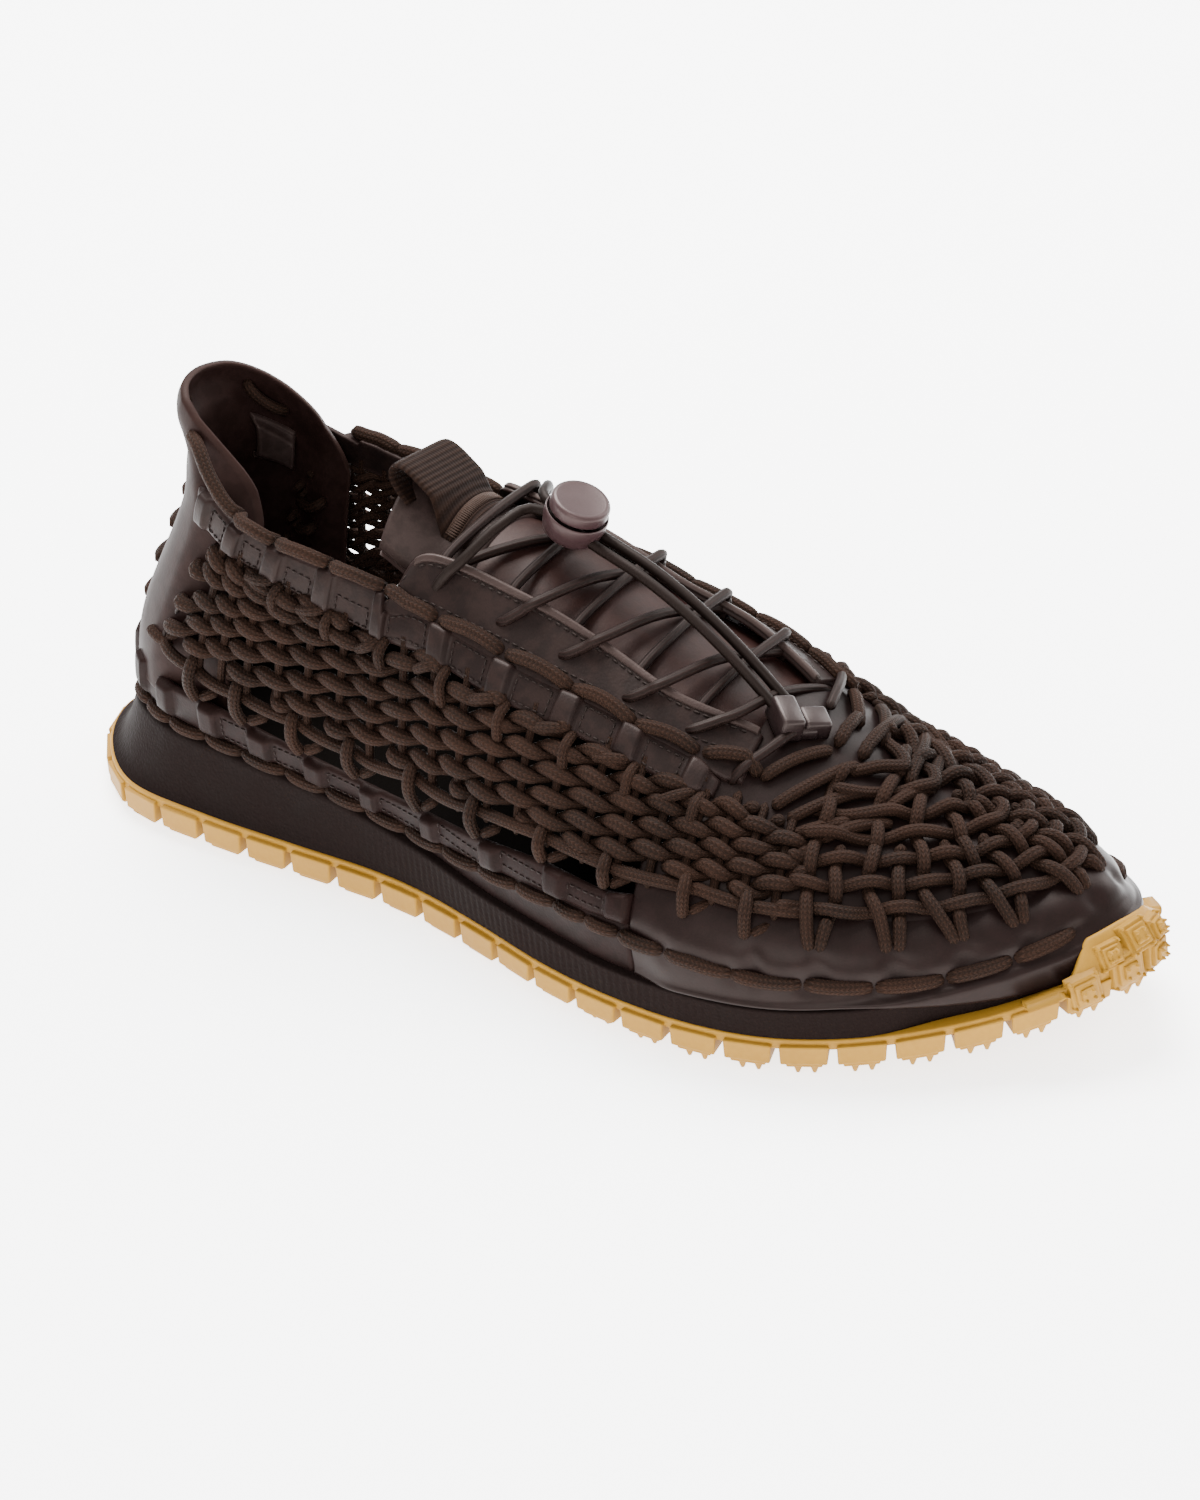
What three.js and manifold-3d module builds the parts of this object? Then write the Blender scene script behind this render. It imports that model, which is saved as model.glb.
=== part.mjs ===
// Woven sneaker for the right foot: a net of braided cord on a rubber cup, with leather
// straps over its edges and an elastic lace held by a cord lock.
// Millimetres, +X to the toe, +Y to the inner side of the foot, +Z up.
import * as THREE from 'three';
import { mergeVertices } from 'three/addons/utils/BufferGeometryUtils.js';
import Module from 'manifold-3d';

const wasm = await Module();
wasm.setup();

// Driving dimensions
const WELD = 1e-4;
const CLEARANCE = 0.3;
const WALL = 2.2;
const OVERLAY_GAP = 0.3;
const OVERLAY_OUT = 1.8;
const GUM_HEIGHT = 10;
const GUM_LIP = 2.8;
const LUG_PITCH = 13.8;
const LUG_GAP = 1.8;
const LUG_DEPTH = 13;
const LUG_TAPER = 2.2;
const LUG_INSET = 0.4;
const LUG_ROOT = 0.6;
const BAR_INSET = 17;
const SPRING_START = 212;
const SPRING_RISE = 15;
const SPRING_END = 300;
const SOLE_TIP_X = 297;
const BUMPER_THICKNESS = 2.8;
const INSOLE_THICKNESS = 3.5;
const INSOLE_INSET = { bottom: 3.6, top: 5.4 };
const LACE_DIAMETER = 2.7;
const LACE_SIDES = 8;
const CROSSING_SIDES = 6;
const CROSSING_STEPS = 4;
const LOCK_RADIUS = 8.5;
const LOCK_HEIGHT = 8.5;
const BUTTON_RADIUS = 7.5;
const BUTTON_TRAVEL = 3;
const WEAVE_RISE = 1.8;
const WEAVE_LOW = 0.25;
const BEAD_RISE = 0.35;
const STITCH_RISE = 1.6;

// Columns of the grid round the foot: three to a station, down the outer side and back
// along the inner side, wide and narrow in turn.
const COLUMNS_PER_STATION = 3;
const WIDE_SHIFT = 0.2;

// Ground outline of the rubber sole: a row per station from heel to toe.
// outer and inner are the widths to each side of the heel's centre line.
const SOLE_ROWS = [
  { x: 0, outer: 0, inner: 0 },
  { x: 7, outer: 19, inner: 18 },
  { x: 24, outer: 34, inner: 32 },
  { x: 50, outer: 38, inner: 36 },
  { x: 78, outer: 39, inner: 35 },
  { x: 102, outer: 39.5, inner: 32.5 },
  { x: 120, outer: 42, inner: 31.5 },
  { x: 140, outer: 47.5, inner: 33 },
  { x: 162, outer: 54.5, inner: 37 },
  { x: 184, outer: 58.5, inner: 42 },
  { x: 207, outer: 59, inner: 46 },
  { x: 231, outer: 54, inner: 46.5 },
  { x: 256, outer: 42, inner: 41.5 },
  { x: 281, outer: 22, inner: 30 },
  { x: SOLE_TIP_X, outer: -6, inner: 6 },
];

// Height of the foam wedge over the rubber along the shoe.
const FOAM_ROWS = [
  { x: 0, height: 18.5 },
  { x: 50, height: 18.2 },
  { x: 85, height: 16.4 },
  { x: 115, height: 13 },
  { x: 145, height: 10.2 },
  { x: 180, height: 8.8 },
  { x: 240, height: 8.4 },
  { x: 300, height: 7 },
];

// The last: four lines round the foot, a row per station. foot is where the wall meets the
// sole, belly the fullest line, shoulder the turn over the instep, and edge the collar and
// throat, with its height. Columns as in the outline above.
const LAST_ROWS = [
  {
    name: 'heel',
    foot: { x: 15, outer: 0, inner: 0 },
    belly: { x: 18, outer: 0, inner: 0, z: 52 },
    shoulder: { x: 34, outer: 0, inner: 0, z: 90 },
    edge: { x: 38, outer: 0, inner: 0, z: 119 },
  },
  {
    name: 'heel_quarter',
    foot: { x: 20, outer: 17, inner: 16 },
    belly: { x: 23, outer: 18, inner: 17, z: 51 },
    shoulder: { x: 37, outer: 14, inner: 13.5, z: 89 },
    edge: { x: 42, outer: 12.5, inner: 11.5, z: 116.5 },
  },
  {
    name: 'heel_side',
    foot: { x: 35, outer: 27, inner: 26 },
    belly: { x: 38, outer: 29.5, inner: 28.5, z: 50 },
    shoulder: { x: 48, outer: 24.5, inner: 23, z: 84 },
    edge: { x: 53, outer: 22, inner: 20, z: 105 },
  },
  {
    name: 'ankle_back',
    foot: { x: 56, outer: 30.5, inner: 29.5 },
    belly: { x: 57, outer: 33, inner: 31.5, z: 48 },
    shoulder: { x: 62, outer: 30, inner: 27.5, z: 76 },
    edge: { x: 66, outer: 27, inner: 24.5, z: 92 },
  },
  {
    name: 'ankle',
    foot: { x: 80, outer: 32.5, inner: 29.5 },
    belly: { x: 81, outer: 35, inner: 32, z: 47 },
    shoulder: { x: 83, outer: 31.5, inner: 28.5, z: 73 },
    edge: { x: 85, outer: 28, inner: 25, z: 88 },
  },
  {
    name: 'ankle_front',
    foot: { x: 102, outer: 35, inner: 28 },
    belly: { x: 102, outer: 37, inner: 31.5, z: 46 },
    shoulder: { x: 103, outer: 32, inner: 29, z: 72 },
    edge: { x: 103, outer: 26.5, inner: 24, z: 89 },
  },
  {
    name: 'instep_top',
    foot: { x: 120, outer: 39, inner: 28 },
    belly: { x: 120, outer: 41, inner: 33, z: 44 },
    shoulder: { x: 117, outer: 32, inner: 29, z: 75 },
    edge: { x: 113, outer: 18, inner: 16.5, z: 96 },
  },
  {
    name: 'instep',
    foot: { x: 140, outer: 45, inner: 30 },
    belly: { x: 139, outer: 46.5, inner: 35.5, z: 41 },
    shoulder: { x: 138, outer: 34, inner: 30, z: 73 },
    edge: { x: 138, outer: 15, inner: 14.5, z: 92 },
  },
  {
    name: 'waist_front',
    foot: { x: 162, outer: 51, inner: 34 },
    belly: { x: 161, outer: 52, inner: 38, z: 38 },
    shoulder: { x: 160, outer: 36, inner: 31, z: 67 },
    edge: { x: 160, outer: 13.5, inner: 13.5, z: 84 },
  },
  {
    name: 'throat_side',
    foot: { x: 184, outer: 55.5, inner: 39 },
    belly: { x: 183, outer: 55.5, inner: 41, z: 35 },
    shoulder: { x: 182, outer: 37, inner: 32.5, z: 60 },
    edge: { x: 181, outer: 12, inner: 13, z: 75.5 },
  },
  {
    name: 'throat',
    foot: { x: 207, outer: 56, inner: 43 },
    belly: { x: 205, outer: 55, inner: 43.5, z: 33 },
    shoulder: { x: 202, outer: 36, inner: 32.5, z: 54 },
    edge: { x: 199, outer: -2, inner: 2, z: 68 },
  },
  {
    name: 'ball',
    foot: { x: 230, outer: 51, inner: 43 },
    belly: { x: 227, outer: 49.5, inner: 41.5, z: 32.5 },
    shoulder: { x: 222, outer: 33, inner: 28, z: 48.5 },
    edge: { x: 217, outer: -3, inner: 3, z: 59.5 },
  },
  {
    name: 'toe_side',
    foot: { x: 253.5, outer: 38.5, inner: 37.5 },
    belly: { x: 249, outer: 36, inner: 34.5, z: 33 },
    shoulder: { x: 240, outer: 22.5, inner: 22.5, z: 46 },
    edge: { x: 232, outer: -3.5, inner: 3.5, z: 53 },
  },
  {
    name: 'toe_quarter',
    foot: { x: 276.5, outer: 17, inner: 25 },
    belly: { x: 270, outer: 15.5, inner: 22.5, z: 36 },
    shoulder: { x: 256, outer: 7.5, inner: 14, z: 45.5 },
    edge: { x: 244, outer: -4, inner: 4, z: 49.5 },
  },
  {
    name: 'toe',
    foot: { x: 289.5, outer: -6, inner: 6 },
    belly: { x: 281.5, outer: -5.5, inner: 5.5, z: 37 },
    shoulder: { x: 265, outer: -4.5, inner: 4.5, z: 45 },
    edge: { x: 250, outer: -4.3, inner: 4.3, z: 48.3 },
  },
];
const STATIONS = LAST_ROWS.length - 1;
const THROAT = LAST_ROWS.findIndex((row) => row.name === 'throat');
const HALF = STATIONS * COLUMNS_PER_STATION;
const COLUMNS = 2 * HALF;
const THROAT_COLUMN = THROAT * COLUMNS_PER_STATION;

// Rows of the wall as shares of its girth: the bottom strap, the open cells over it, the net
// and the collar strap.
const LEVELS = [0, 0.14, 0.23, 0.3, 0.37, 0.46, 0.56, 0.66, 0.725, 0.79, 0.86, 1];
const FOXING_LEVEL = 1;
const OPEN_CELL_LEVEL = 1;
const RAND_LEVEL = 4;
const NET_CELL_LEVELS = [3, 5, 7];
const STRAP_LEVEL = 7;
const EYESTAY_LEVEL = 9;
const COLLAR_LEVEL = 10;
const TOP_LEVEL = LEVELS.length - 1;

// Stations where the leather pieces start and end along the side.
const COUNTER_STATION = 5 / 3;
const EYESTAY_STATION = 17 / 3;
const RAND_STATION = 28 / 3;
const NET_STATIONS = { from: 2.4, to: 8.9 };
const OPEN_STATIONS = { from: 2.5, to: 9.1 };

function wrap(i) {
  return ((i % COLUMNS) + COLUMNS) % COLUMNS;
}

// Place of a grid column round the foot, in columns: odd ones stand off the middle.
function place(i) {
  const shift = i % 2 === 1 ? WIDE_SHIFT : 0;
  return i <= HALF ? i + shift : i - shift;
}

function mixRows(rows, key, x) {
  let n = 1;
  while (n < rows.length - 1 && rows[n].x < x) n += 1;
  const t = THREE.MathUtils.clamp((x - rows[n - 1].x) / (rows[n].x - rows[n - 1].x), 0, 1);
  const eased = t * t * (3 - 2 * t);
  return THREE.MathUtils.lerp(rows[n - 1][key], rows[n][key], 0.5 * (t + eased));
}

// Underside of the sole: flat from the heel to the ball, then rising to the toe.
function spring(x) {
  const share = Math.max(0, x - SPRING_START) / (SPRING_END - SPRING_START);
  return SPRING_RISE * share ** 2;
}

function gumTop(x) {
  return spring(x) + GUM_HEIGHT;
}

function featherZ(x) {
  return gumTop(x) + mixRows(FOAM_ROWS, 'height', x);
}

// A closed curve through a table: out along the outer side, back along the inner side.
function ringCurve(rows, height) {
  const outer = rows.map((r) => new THREE.Vector3(r.x, -r.outer, height(r)));
  const inner = rows.slice(1, -1).map((r) => new THREE.Vector3(r.x, r.inner, height(r)));
  return new THREE.CatmullRomCurve3([...outer, ...inner.reverse()], true, 'catmullrom', 0.5);
}

const soleCurve = ringCurve(SOLE_ROWS, () => 0);
const footCurve = ringCurve(LAST_ROWS.map((r) => r.foot), (p) => featherZ(p.x));
const bellyCurve = ringCurve(LAST_ROWS.map((r) => r.belly), (p) => p.z);
const shoulderCurve = ringCurve(LAST_ROWS.map((r) => r.shoulder), (p) => p.z);
const throatCurve = ringCurve(LAST_ROWS.slice(0, THROAT + 1).map((r) => r.edge), (p) => p.z);
const ridgeCurve = new THREE.CatmullRomCurve3(
  LAST_ROWS.slice(THROAT).map((r) => new THREE.Vector3(r.edge.x, r.edge.inner, r.edge.z)),
  false,
  'catmullrom',
  0.5,
);

// Top of the wall at a column: the collar and throat edge, then the ridge of the vamp, where
// both sides meet.
function edgePoint(i) {
  const fromHeel = i <= HALF ? place(i) : COLUMNS - place(i);
  if (fromHeel >= THROAT_COLUMN) {
    return ridgeCurve.getPoint((fromHeel - THROAT_COLUMN) / (HALF - THROAT_COLUMN));
  }
  const t = fromHeel / (2 * THROAT_COLUMN);
  return throatCurve.getPoint(i <= HALF ? t : 1 - t);
}

// One rib of the last from foot to edge, at shares of its own length. Past the throat it
// heads for the other side, so that the vamp is round at its ridge.
function ribPoints(i) {
  const t = place(i) / COLUMNS;
  const other = place(wrap(-i)) / COLUMNS;
  const edge = edgePoint(i);
  const shoulder = shoulderCurve.getPoint(t);
  const across = shoulderCurve.getPoint(other);
  const fromHeel = Math.min(i, COLUMNS - i);
  const turn = THREE.MathUtils.smoothstep(fromHeel, THROAT_COLUMN - 6, THROAT_COLUMN);
  const onward = edge.clone().multiplyScalar(2).sub(shoulder).lerp(across, turn);
  const rib = new THREE.CatmullRomCurve3(
    [footCurve.getPoint(t), bellyCurve.getPoint(t), shoulder, edge, onward],
    false,
    'centripetal',
  );
  const steps = 60;
  const fine = [];
  for (let n = 0; n <= steps; n += 1) fine.push(rib.getPoint((0.75 * n) / steps));
  const run = [0];
  for (let n = 1; n <= steps; n += 1) run.push(run[n - 1] + fine[n].distanceTo(fine[n - 1]));
  return LEVELS.map((level) => {
    const goal = level * run[steps];
    let n = 1;
    while (n < steps && run[n] < goal) n += 1;
    return fine[n - 1].clone().lerp(fine[n], (goal - run[n - 1]) / (run[n] - run[n - 1]));
  });
}

// The heel tab flares back near its top.
const TAB_FLARE = 5.5;
const TAB_FLARE_LEVEL = 0.9;
const TAB_FLARE_SPREAD = 0.1;
function flareTab(point, i, level) {
  const fromHeel = Math.min(i, COLUMNS - i) / COLUMNS_PER_STATION;
  const round = THREE.MathUtils.smoothstep(2.2 - fromHeel, 0, 1.6);
  const height = Math.exp(-(((level - TAB_FLARE_LEVEL) / TAB_FLARE_SPREAD) ** 2));
  point.x -= TAB_FLARE * round * height;
  return point;
}

// Grid of the last with its outward directions.
const RIDGE_OUTWARD = new THREE.Vector3(0.25, 0, 1).normalize();
const LAST = [];
for (let i = 0; i < COLUMNS; i += 1) {
  LAST.push(ribPoints(i).map((p, j) => flareTab(p, i, LEVELS[j])));
}
const OUTWARD = LAST.map((rib, i) => rib.map((point, j) => {
  const onRidge = j === TOP_LEVEL && Math.min(i, COLUMNS - i) >= THROAT_COLUMN;
  const along = LAST[wrap(i + 1)][j].clone().sub(LAST[wrap(i - 1)][j]);
  const above = onRidge ? LAST[wrap(-i)][j - 1] : rib[Math.min(j + 1, TOP_LEVEL)];
  const up = above.clone().sub(rib[Math.max(j - 1, 0)]);
  const normal = along.cross(up);
  if (onRidge) return RIDGE_OUTWARD;
  if (j === 0) normal.z = 0;
  return normal.normalize();
}));

// A point of the last at any column between two grid lines, moved outward.
function lastPoint(column, level, out) {
  const i = Math.floor(column);
  const j = Math.min(Math.floor(level), TOP_LEVEL - 1);
  const corner = (a, b) => {
    const p = LAST[wrap(i + a)][j + b].clone();
    return p.addScaledVector(OUTWARD[wrap(i + a)][j + b], out);
  };
  const low = corner(0, 0).lerp(corner(1, 0), column - i);
  const high = corner(0, 1).lerp(corner(1, 1), column - i);
  return low.lerp(high, level - j);
}

// A closed mesh from points and faces of three or four corners.
function meshFrom(points, faces) {
  const geometry = new THREE.BufferGeometry();
  const flat = points.flatMap((p) => p.toArray());
  geometry.setAttribute('position', new THREE.Float32BufferAttribute(flat, 3));
  const index = [];
  for (const face of faces) {
    for (let n = 2; n < face.length; n += 1) index.push(face[0], face[n - 1], face[n]);
  }
  geometry.setIndex(index);
  return geometry;
}

// A sheet of quads between an outer and an inner grid, closed along every open edge.
// kept says which cells are there, and sewn which top edges meet the other side.
function shell(columns, levels, closed, outerPoint, innerPoint, kept = () => true, sewn = () => false) {
  const points = [];
  const side = columns * levels;
  for (const at of [outerPoint, innerPoint]) {
    for (let i = 0; i < columns; i += 1) {
      for (let j = 0; j < levels; j += 1) points.push(at(i, j));
    }
  }
  const id = (i, j) => (i % columns) * levels + j;
  const cellColumns = closed ? columns : columns - 1;
  const has = (i, j) => {
    if (j < 0 || j >= levels - 1) return false;
    if (!closed && (i < 0 || i >= cellColumns)) return false;
    return kept((i + columns) % columns, j);
  };
  const faces = [];
  const wall = (a, b) => faces.push([b, a, a + side, b + side]);
  for (let i = 0; i < cellColumns; i += 1) {
    for (let j = 0; j < levels - 1; j += 1) {
      if (!has(i, j)) continue;
      const [a, b, c, d] = [id(i, j), id(i + 1, j), id(i + 1, j + 1), id(i, j + 1)];
      faces.push([a, b, c, d], [a + side, d + side, c + side, b + side]);
      if (!has(i, j - 1)) wall(a, b);
      if (!has(i + 1, j)) wall(b, c);
      if (!has(i, j + 1) && !(j === levels - 2 && sewn(i))) wall(c, d);
      if (!has(i - 1, j)) wall(d, a);
    }
  }
  return meshFrom(points, faces);
}

// A solid of stacked closed rings; each end is closed by a ladder from side to side.
function stackedRings(rings) {
  const size = rings[0].length;
  const faces = [];
  for (let r = 0; r + 1 < rings.length; r += 1) {
    for (let i = 0; i < size; i += 1) {
      const a = r * size + i;
      const b = r * size + ((i + 1) % size);
      faces.push([a, b, b + size, a + size]);
    }
  }
  const last = (rings.length - 1) * size;
  for (let i = 0; i < size / 2; i += 1) {
    const [p, q] = [(size - i) % size, size - i - 1];
    const ladder = [i, i + 1, q, p].filter((v, n, all) => all.indexOf(v) === n);
    faces.push([...ladder].reverse());
    faces.push(ladder.map((v) => v + last));
  }
  return meshFrom(rings.flat(), faces);
}

// Points only, with the shared ones merged.
function welded(geometry) {
  for (const name of ['normal', 'uv']) geometry.deleteAttribute(name);
  return mergeVertices(geometry, WELD);
}

function solid(geometry) {
  const merged = welded(geometry);
  return new wasm.Manifold(new wasm.Mesh({
    numProp: 3,
    vertProperties: new Float32Array(merged.attributes.position.array),
    triVerts: new Uint32Array(merged.index.array),
  }));
}

function fromSolid(body) {
  const mesh = body.getMesh();
  const geometry = new THREE.BufferGeometry();
  geometry.setAttribute('position', new THREE.BufferAttribute(mesh.vertProperties, 3));
  geometry.setIndex(new THREE.BufferAttribute(mesh.triVerts, 1));
  return geometry;
}

function join(geometries) {
  return fromSolid(geometries.map(solid).reduce((whole, next) => whole.add(next)));
}

// Blocks and tapered studs from a lower and an upper outline of four corners.
function block(low, high) {
  return meshFrom([...low, ...high], [
    [3, 2, 1, 0], [4, 5, 6, 7], [0, 1, 5, 4], [1, 2, 6, 5], [2, 3, 7, 6], [3, 0, 4, 7],
  ]);
}

function stud(foot, direction, size, tip, height) {
  const along = new THREE.Vector3(1, 0, 0);
  if (Math.abs(direction.x) > 0.9) along.set(0, 1, 0);
  const side = direction.clone().cross(along).normalize();
  const fore = side.clone().cross(direction).normalize();
  const corners = (half, rise) => [[-1, -1], [1, -1], [1, 1], [-1, 1]].map(([a, b]) => foot.clone()
    .addScaledVector(fore, a * half).addScaledVector(side, b * half).addScaledVector(direction, rise));
  return block(corners(size / 2, 0), corners(tip / 2, height));
}

// Outsole: a lip all round, lugs below it and a bumper over the toe.
const SOLE = [];
for (let i = 0; i < COLUMNS; i += 1) SOLE.push(soleCurve.getPoint(place(i) / COLUMNS));
const SOLE_OUT = SOLE.map((p, i) => {
  const along = SOLE[wrap(i + 1)].clone().sub(SOLE[wrap(i - 1)]);
  return new THREE.Vector3(along.y, -along.x, 0).normalize();
});

function soleRing(inset, height) {
  return SOLE.map((p, i) => {
    const q = p.clone().addScaledVector(SOLE_OUT[i], -inset);
    q.z = height(q.x);
    return q;
  });
}

// Lugs and bars root a little way into the lip above them.
function lugTop(x) {
  return gumTop(x) - GUM_LIP + LUG_ROOT;
}

function soleLug(start, end) {
  const at = (u, inset) => {
    const p = soleCurve.getPointAt(((u % 1) + 1) % 1);
    const along = soleCurve.getTangentAt(((u % 1) + 1) % 1);
    return p.addScaledVector(new THREE.Vector3(along.y, -along.x, 0).normalize(), -inset);
  };
  const outline = (inset, height) => [
    at(start, inset), at(end, inset), at(end, LUG_DEPTH), at(start, LUG_DEPTH),
  ].map((p) => p.setZ(height(p.x)));
  return block(outline(LUG_TAPER, spring), outline(LUG_INSET, lugTop));
}

// Bars across the tread behind the edge lugs, at the heel and under the ball.
const BAR_ROWS = [
  { from: 16, to: 32 },
  { from: 36, to: 50 },
  { from: 54, to: 68 },
  { from: 156, to: 170 },
  { from: 175, to: 190 },
  { from: 195, to: 209 },
  { from: 214, to: 228 },
  { from: 233, to: 247 },
];

function middleBar({ from, to }) {
  const corner = (x, key, sign) => {
    const half = mixRows(SOLE_ROWS, key, x) - BAR_INSET;
    return new THREE.Vector3(x, sign * half, spring(x));
  };
  const low = [
    corner(from, 'outer', -1), corner(to, 'outer', -1), corner(to, 'inner', 1), corner(from, 'inner', 1),
  ];
  return block(low, low.map((p) => p.clone().setZ(lugTop(p.x))));
}

// Toe bumper: a flap of the same rubber over the front of the toe, with stepped lugs.
const BUMPER_COLUMNS = { from: HALF - 3, to: HALF + 4 };
const BUMPER_LEVELS = [0.5, 1.2];
const BUMPER_LUGS = [
  { column: -2.2, level: 0.12, size: 9.5 },
  { column: -0.8, level: 0.54, size: 10 },
  { column: 0.7, level: 0.54, size: 10.5 },
  { column: 2.1, level: 0.54, size: 10 },
  { column: 3.3, level: 0.12, size: 9.5 },
];
const LUG_STEPS = [
  { share: 1, rise: 1.1 },
  { share: 0.72, rise: 2.1 },
  { share: 0.42, rise: 3.2 },
];
const STEP_TAPER = 0.86;
const STEP_ROOT = 1.2;
const STEP_LEAN = 0.35;
const BUMPER_LIFT = OVERLAY_OUT + CLEARANCE + 0.25;
const BUMPER_FOOT = 2;
const BUMPER_DROP = 1.5;

function bumperPoint(column, row, out) {
  if (row >= 2) return lastPoint(column, BUMPER_LEVELS[row - 2], BUMPER_LIFT + out);
  const i = Math.round(column);
  const p = SOLE[wrap(i)].clone().addScaledVector(SOLE_OUT[wrap(i)], out - BUMPER_THICKNESS);
  p.z = row === 0 ? gumTop(p.x) - BUMPER_FOOT : featherZ(p.x) - BUMPER_DROP;
  return p;
}

function toeBumper() {
  const columns = BUMPER_COLUMNS.to - BUMPER_COLUMNS.from + 1;
  const at = (out) => (i, j) => bumperPoint(BUMPER_COLUMNS.from + i, j, out);
  return shell(columns, 4, false, at(BUMPER_THICKNESS), at(0));
}

function bumperLug({ column, level, size }) {
  const lower = bumperPoint(HALF + Math.round(column), 1, BUMPER_THICKNESS);
  const higher = lastPoint(HALF + column, BUMPER_LEVELS[1], BUMPER_THICKNESS + OVERLAY_OUT);
  const outward = SOLE_OUT[wrap(HALF + Math.round(column))].clone().setZ(STEP_LEAN).normalize();
  const base = lower.lerp(higher, level).addScaledVector(outward, -STEP_ROOT);
  return LUG_STEPS.map(({ share, rise }) => {
    const width = size * share;
    return stud(base, outward, width, width * STEP_TAPER, STEP_ROOT + rise);
  });
}

function outsole() {
  const rings = [
    soleRing(0, (x) => gumTop(x) - GUM_LIP),
    soleRing(0, gumTop),
  ];
  const count = Math.round(soleCurve.getLength() / LUG_PITCH);
  const gap = LUG_GAP / soleCurve.getLength() / 2;
  const lugs = [];
  for (let n = 0; n < count; n += 1) lugs.push(soleLug(n / count + gap, (n + 1) / count - gap));
  const bars = BAR_ROWS.map(middleBar);
  const toe = [toeBumper(), ...BUMPER_LUGS.flatMap(bumperLug)];
  return join([stackedRings(rings), ...lugs, ...bars, ...toe]);
}

// Midsole: a foam wedge, wider than the upper at the heel, where its side is a hollow shelf.
const FOAM_MARGIN = 2.6;
const FOAM_INSET = 0.9;
const FOAM_DROP = 0.7;
const FOAM_TOE_INSET = BUMPER_THICKNESS + CLEARANCE + 1.5;
const FOAM_TOE_LEAN = 0.6;
const FOAM_SHARES = [0, 0.3, 0.62, 1];

function midsole() {
  const top = LAST.map((rib, i) => rib[0].clone().addScaledVector(OUTWARD[i][0], FOAM_MARGIN));
  const rings = FOAM_SHARES.map((share) => SOLE.map((p, i) => {
    const fromToe = Math.abs(i - HALF) / COLUMNS_PER_STATION;
    const clear = THREE.MathUtils.smoothstep(fromToe, 1.6, 2.4);
    const inset = THREE.MathUtils.lerp(FOAM_TOE_INSET, FOAM_INSET, clear);
    const low = p.clone().addScaledVector(SOLE_OUT[i], -inset);
    const high = top[i].clone();
    if (fromToe < 2) high.lerp(low, FOAM_TOE_LEAN);
    const q = low.clone().lerp(high, Math.sqrt(share));
    const bottom = gumTop(q.x) + CLEARANCE;
    q.z = THREE.MathUtils.lerp(bottom, featherZ(q.x) - FOAM_DROP, share);
    return q;
  }));
  return stackedRings(rings);
}

function insole() {
  const ring = (inset, rise) => LAST.filter((rib, i) => i % 2 === 0).map((rib, n) => {
    const i = 2 * n;
    const p = rib[0].clone().addScaledVector(OUTWARD[i][0], -inset);
    p.z = featherZ(p.x) + rise;
    return p;
  });
  return stackedRings([ring(INSOLE_INSET.bottom, 0), ring(INSOLE_INSET.top, INSOLE_THICKNESS)]);
}

// Station of a column, counted from the heel along either side.
function stationOf(i) {
  return Math.min(wrap(i), COLUMNS - wrap(i)) / COLUMNS_PER_STATION;
}

// What covers the wall at a grid point, so that it lies flat there.
function covered(i, j) {
  const k = stationOf(i);
  if (j <= FOXING_LEVEL) return true;
  if (k >= RAND_STATION - 0.5 && j <= RAND_LEVEL) return true;
  if (k <= COUNTER_STATION + 0.5) return true;
  if (k < THROAT + 0.5 && k > EYESTAY_STATION - 0.5 && j >= STRAP_LEVEL) return true;
  return k <= EYESTAY_STATION + 0.5 && j >= COLLAR_LEVEL;
}

// Rows of twined cord: every second level stands proud, beaded from column to column.
function weaveRise(i, j) {
  if (covered(i, j)) return 0;
  const row = j % 2 === 0 ? WEAVE_RISE : WEAVE_LOW;
  const bead = (i + (j >> 1)) % 2 === 0 ? BEAD_RISE : 0;
  return row + bead;
}

// Openings of the net: a row of long cells over the bottom strap and small ones above.
function openCell(i, j) {
  const k = stationOf(i + 0.5);
  const wide = (i < HALF ? i : COLUMNS - 1 - i) % 2 === 0;
  if (j === OPEN_CELL_LEVEL) return wide && k > OPEN_STATIONS.from && k < OPEN_STATIONS.to;
  if (wide || !NET_CELL_LEVELS.includes(j)) return false;
  if (k < NET_STATIONS.from || k > NET_STATIONS.to) return false;
  return k < EYESTAY_STATION - 1 || j < STRAP_LEVEL - 1;
}

function upper() {
  const outer = (i, j) => lastPoint(i, j, weaveRise(i, j));
  const inner = (i, j) => lastPoint(i, j, -WALL);
  const kept = (i, j) => !openCell(i, j);
  const onRidge = (i) => stationOf(i + 0.5) > THROAT;
  return mergeVertices(shell(COLUMNS, LEVELS.length, true, outer, inner, kept, onRidge), 10 * WELD);
}

// A leather piece over the wall between two columns and two levels.
function overlay(fromColumn, toColumn, levels, rise = () => 0) {
  const columns = [fromColumn];
  for (let c = Math.floor(fromColumn) + 1; c < toColumn; c += 1) columns.push(c);
  columns.push(toColumn);
  const outer = (i, j) => lastPoint(columns[i], levels[j], OVERLAY_OUT + rise(columns[i], j));
  const inner = (i, j) => lastPoint(columns[i], levels[j], OVERLAY_GAP);
  return shell(columns.length, levels.length, false, outer, inner);
}

function range(from, to) {
  const list = [];
  for (let n = from; n <= to; n += 1) list.push(n);
  return list;
}

const EDGE_GAP = 0.06;
const column = (station) => station * COLUMNS_PER_STATION;

// Running stitch of thick cord: over at every second column, under at the next.
function dash(c) {
  const i = Math.round(c);
  return i === c && wrap(i) % 2 === 0 ? STITCH_RISE : 0;
}

function underBumper(c) {
  return c > BUMPER_COLUMNS.from - 2 && c < BUMPER_COLUMNS.to + 2;
}

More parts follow.
